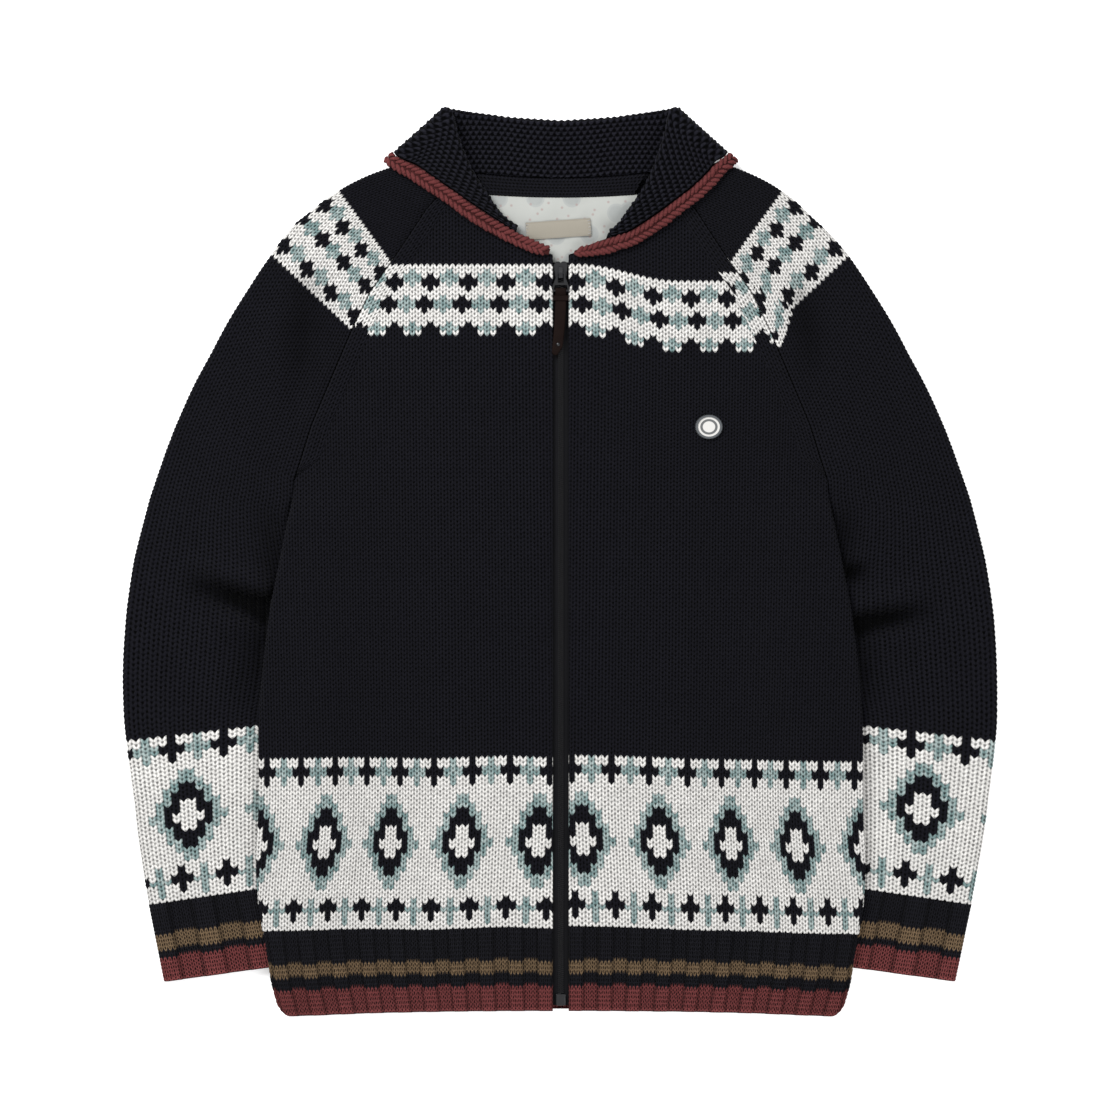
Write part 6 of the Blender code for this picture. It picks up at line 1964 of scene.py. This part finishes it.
leather_finish = leather()
nodes["zip_pull_keeper"].material_slots[0].material = leather_finish
print("the keeper's finish", leather_finish.name)

# %% The strap
# level, underside and upper side of the strap from its top to its end
STRAP = np.array([
    (0.2220, 0.0108, 0.0128), (0.2214, 0.0100, 0.0135), (0.2205, 0.0097, 0.0138), (0.2190, 0.0097, 0.0137),
    (0.2176, 0.0101, 0.0133), (0.2162, 0.0105, 0.0127), (0.2100, 0.0103, 0.0125), (0.1950, 0.0098, 0.0120),
    (0.1800, 0.0094, 0.0116), (0.1709, 0.0091, 0.0113), (0.1660, 0.0091, 0.0112), (0.1652, 0.0094, 0.0109),
])
STRAP_HALF, STRAP_LEAN, STRAP_LEAN_FROM, STRAP_LEAN_POWER = 0.0044, -0.0030, 0.25, 1.3
# how far back the end is cut, from one side of the strap to the other
STRAP_CUT = ((-1, -0.3, 1), (0.0045, 0.0, 0.0085))


def cut_strap():
    """The strap: rounded sides, a little lean, and an end cut to a point."""
    angle = np.linspace(0, 2 * math.pi, 25)[:-1]
    across = np.sign(np.cos(angle)) * np.abs(np.cos(angle)) ** 0.35
    up = np.sign(np.sin(angle)) * np.abs(np.sin(angle)) ** 0.45
    share = ((STRAP[0, 0] - STRAP[:, 0]) / (STRAP[0, 0] - STRAP[-1, 0]))[:, None]
    end = np.interp(across, *STRAP_CUT)[None, :]
    lean = np.clip((share - STRAP_LEAN_FROM) / (1 - STRAP_LEAN_FROM), 0, 1) ** STRAP_LEAN_POWER
    points = np.empty((len(STRAP), len(angle), 3))
    points[..., 0] = STRAP_LEAN * lean + STRAP_HALF * across
    points[..., 1] = STRAP[:, :1] + end * share ** 3
    points[..., 2] = (STRAP[:, 1:2] + STRAP[:, 2:3]) / 2 + (STRAP[:, 2:3] - STRAP[:, 1:2]) / 2 * up
    rings, count = points.shape[:2]
    faces = [tuple(range(count)), tuple(range((rings - 1) * count, rings * count))]
    for ring in range(rings - 1):
        faces += ring_faces(ring * count, count)
    mesh = bpy.data.meshes.new("leather_strap")
    mesh.from_pydata(points.reshape(-1, 3).tolist(), [], faces)
    cleaned(mesh).shade_smooth()
    return add_piece("leather_strap", mesh, leather_finish)


strap = cut_strap()
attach(strap, "zip_pull")
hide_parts("zip_pull_tab")

# %% The stud
STUD = ((0.0, 0.0009), (0.0009, 0.0008), (0.0015, 0.0004), (0.0017, -0.0004), (0.0, -0.0006))
STUD_PLACE = (-0.0021, 0.1760, 0.0114)


def turned_form(name, profile, centre, material, sides=28):
    """A form turned about Z from (radius, height) pairs, closed at its axis."""
    shell = bmesh.new()
    rings = []
    for radius, height in profile:
        if radius < 1e-9:
            rings.append([shell.verts.new((0, 0, height))])
            continue
        angles = [2 * math.pi * k / sides for k in range(sides)]
        rings.append([shell.verts.new((radius * math.cos(a), radius * math.sin(a), height)) for a in angles])
    for lower, upper in zip(rings, rings[1:]):
        for k in range(sides):
            ahead = (k + 1) % sides
            below = [lower[k % len(lower)], lower[ahead % len(lower)]]
            above = [upper[ahead % len(upper)], upper[k % len(upper)]]
            shell.faces.new(list(dict.fromkeys(below + above)))
    bmesh.ops.recalc_face_normals(shell, faces=shell.faces)
    mesh = bpy.data.meshes.new(name)
    shell.to_mesh(mesh)
    shell.free()
    for vertex in mesh.vertices:
        vertex.co = [start + step for start, step in zip(centre, vertex.co)]
    mesh.shade_smooth()
    return add_piece(name, mesh, material)


stud = turned_form("strap_stud", STUD, STUD_PLACE, gunmetal)
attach(stud, "zip_pull")
print("strap triangles", triangles(strap), "stud", triangles(stud))

# %% The badge


def badge_finish():
    """A dark metal rim round a pale enamel face."""
    paint = Finish("badge")
    low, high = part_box("chest_badge")
    middle, half = (low + high) / 2, (high - low) / 2
    x, y, _ = paint.split(paint.place())
    reach = (((x - middle.x) / half.x) ** 2 + ((y - middle.y) / half.y) ** 2) ** 0.5
    rim = reach.ramp(0.76, 0.79)
    inner = 1 - (reach - 0.53).size().ramp(0.07, 0.11)
    face = paint.mix(inner * 0.9, (0.60, 0.59, 0.57, 1), (0.045, 0.05, 0.055, 1))
    brush = paint.noise(700, 2, 0.5)
    tint = paint.mix(rim, face, (0.13, 0.14, 0.15, 1))
    return paint.set(
        Base_Color=tint, Metallic=rim * 0.9, Roughness=0.30 + 0.15 * brush, Coat_Weight=0.4,
        Normal=paint.bump(brush, 0.0001, 0.2),
    )


nodes["chest_badge"].material_slots[0].material = badge_finish()
print("the badge is finished as", nodes["chest_badge"].material_slots[0].material.name)

# %% [markdown]
# ## Stage
# The cardigan lies on a pale floor that glows a little, as lit paper does. A large soft light stands
# behind it on the left and a weaker one in front on the right, so each strand has a lit and a shaded
# side. The camera looks straight down through a long lens.

# %% Floor and room
floor_mesh = bpy.data.meshes.new("floor")
floor_mesh.from_pydata([(-3, -3, 0), (3, -3, 0), (3, 3, 0), (-3, 3, 0)], [], [(0, 1, 2, 3)])
ground = add_piece("floor", floor_mesh)
paper = Finish("paper")
grain = paper.noise(600, 2, 0.5)
floor_mesh.materials.append(paper.set(
    Base_Color=(0.97, 0.97, 0.97, 1), Roughness=0.95, Normal=paper.bump(grain, 0.0002, 0.1),
    Emission_Color=(1, 1, 1, 1), Emission_Strength=0.40,
))

world = bpy.data.worlds.new("room")
world.use_nodes = True
world.node_tree.nodes["Background"].inputs["Color"].default_value = (1, 1, 1, 1)
world.node_tree.nodes["Background"].inputs["Strength"].default_value = 0.62
bpy.context.scene.world = world

# %% Lights and camera
CAMERA_PLACE = (-0.0006, 0.0, 2.551)


def softbox(name, place, size, power):
    data = bpy.data.lights.new(name, "AREA")
    data.shape, data.size, data.energy = "DISK", size, power
    lamp = bpy.data.objects.new(name, data)
    lamp.location = place
    lamp.rotation_euler = (-Vector(place)).to_track_quat("-Z", "Y").to_euler()
    bpy.context.scene.collection.objects.link(lamp)


softbox("key light", (-1.0, 1.3, 1.6), 1.3, 52)
softbox("fill light", (1.2, -1.0, 1.9), 1.6, 22)

lens = bpy.data.cameras.new("camera")
lens.lens, lens.sensor_width, lens.clip_end = 100, 36, 20
eye = bpy.data.objects.new("camera", lens)
eye.location = CAMERA_PLACE
bpy.context.scene.collection.objects.link(eye)
bpy.context.scene.camera = eye
bpy.context.scene.view_settings.view_transform = "Standard"
print("camera", round(CAMERA_PLACE[2], 2), "m above the floor")
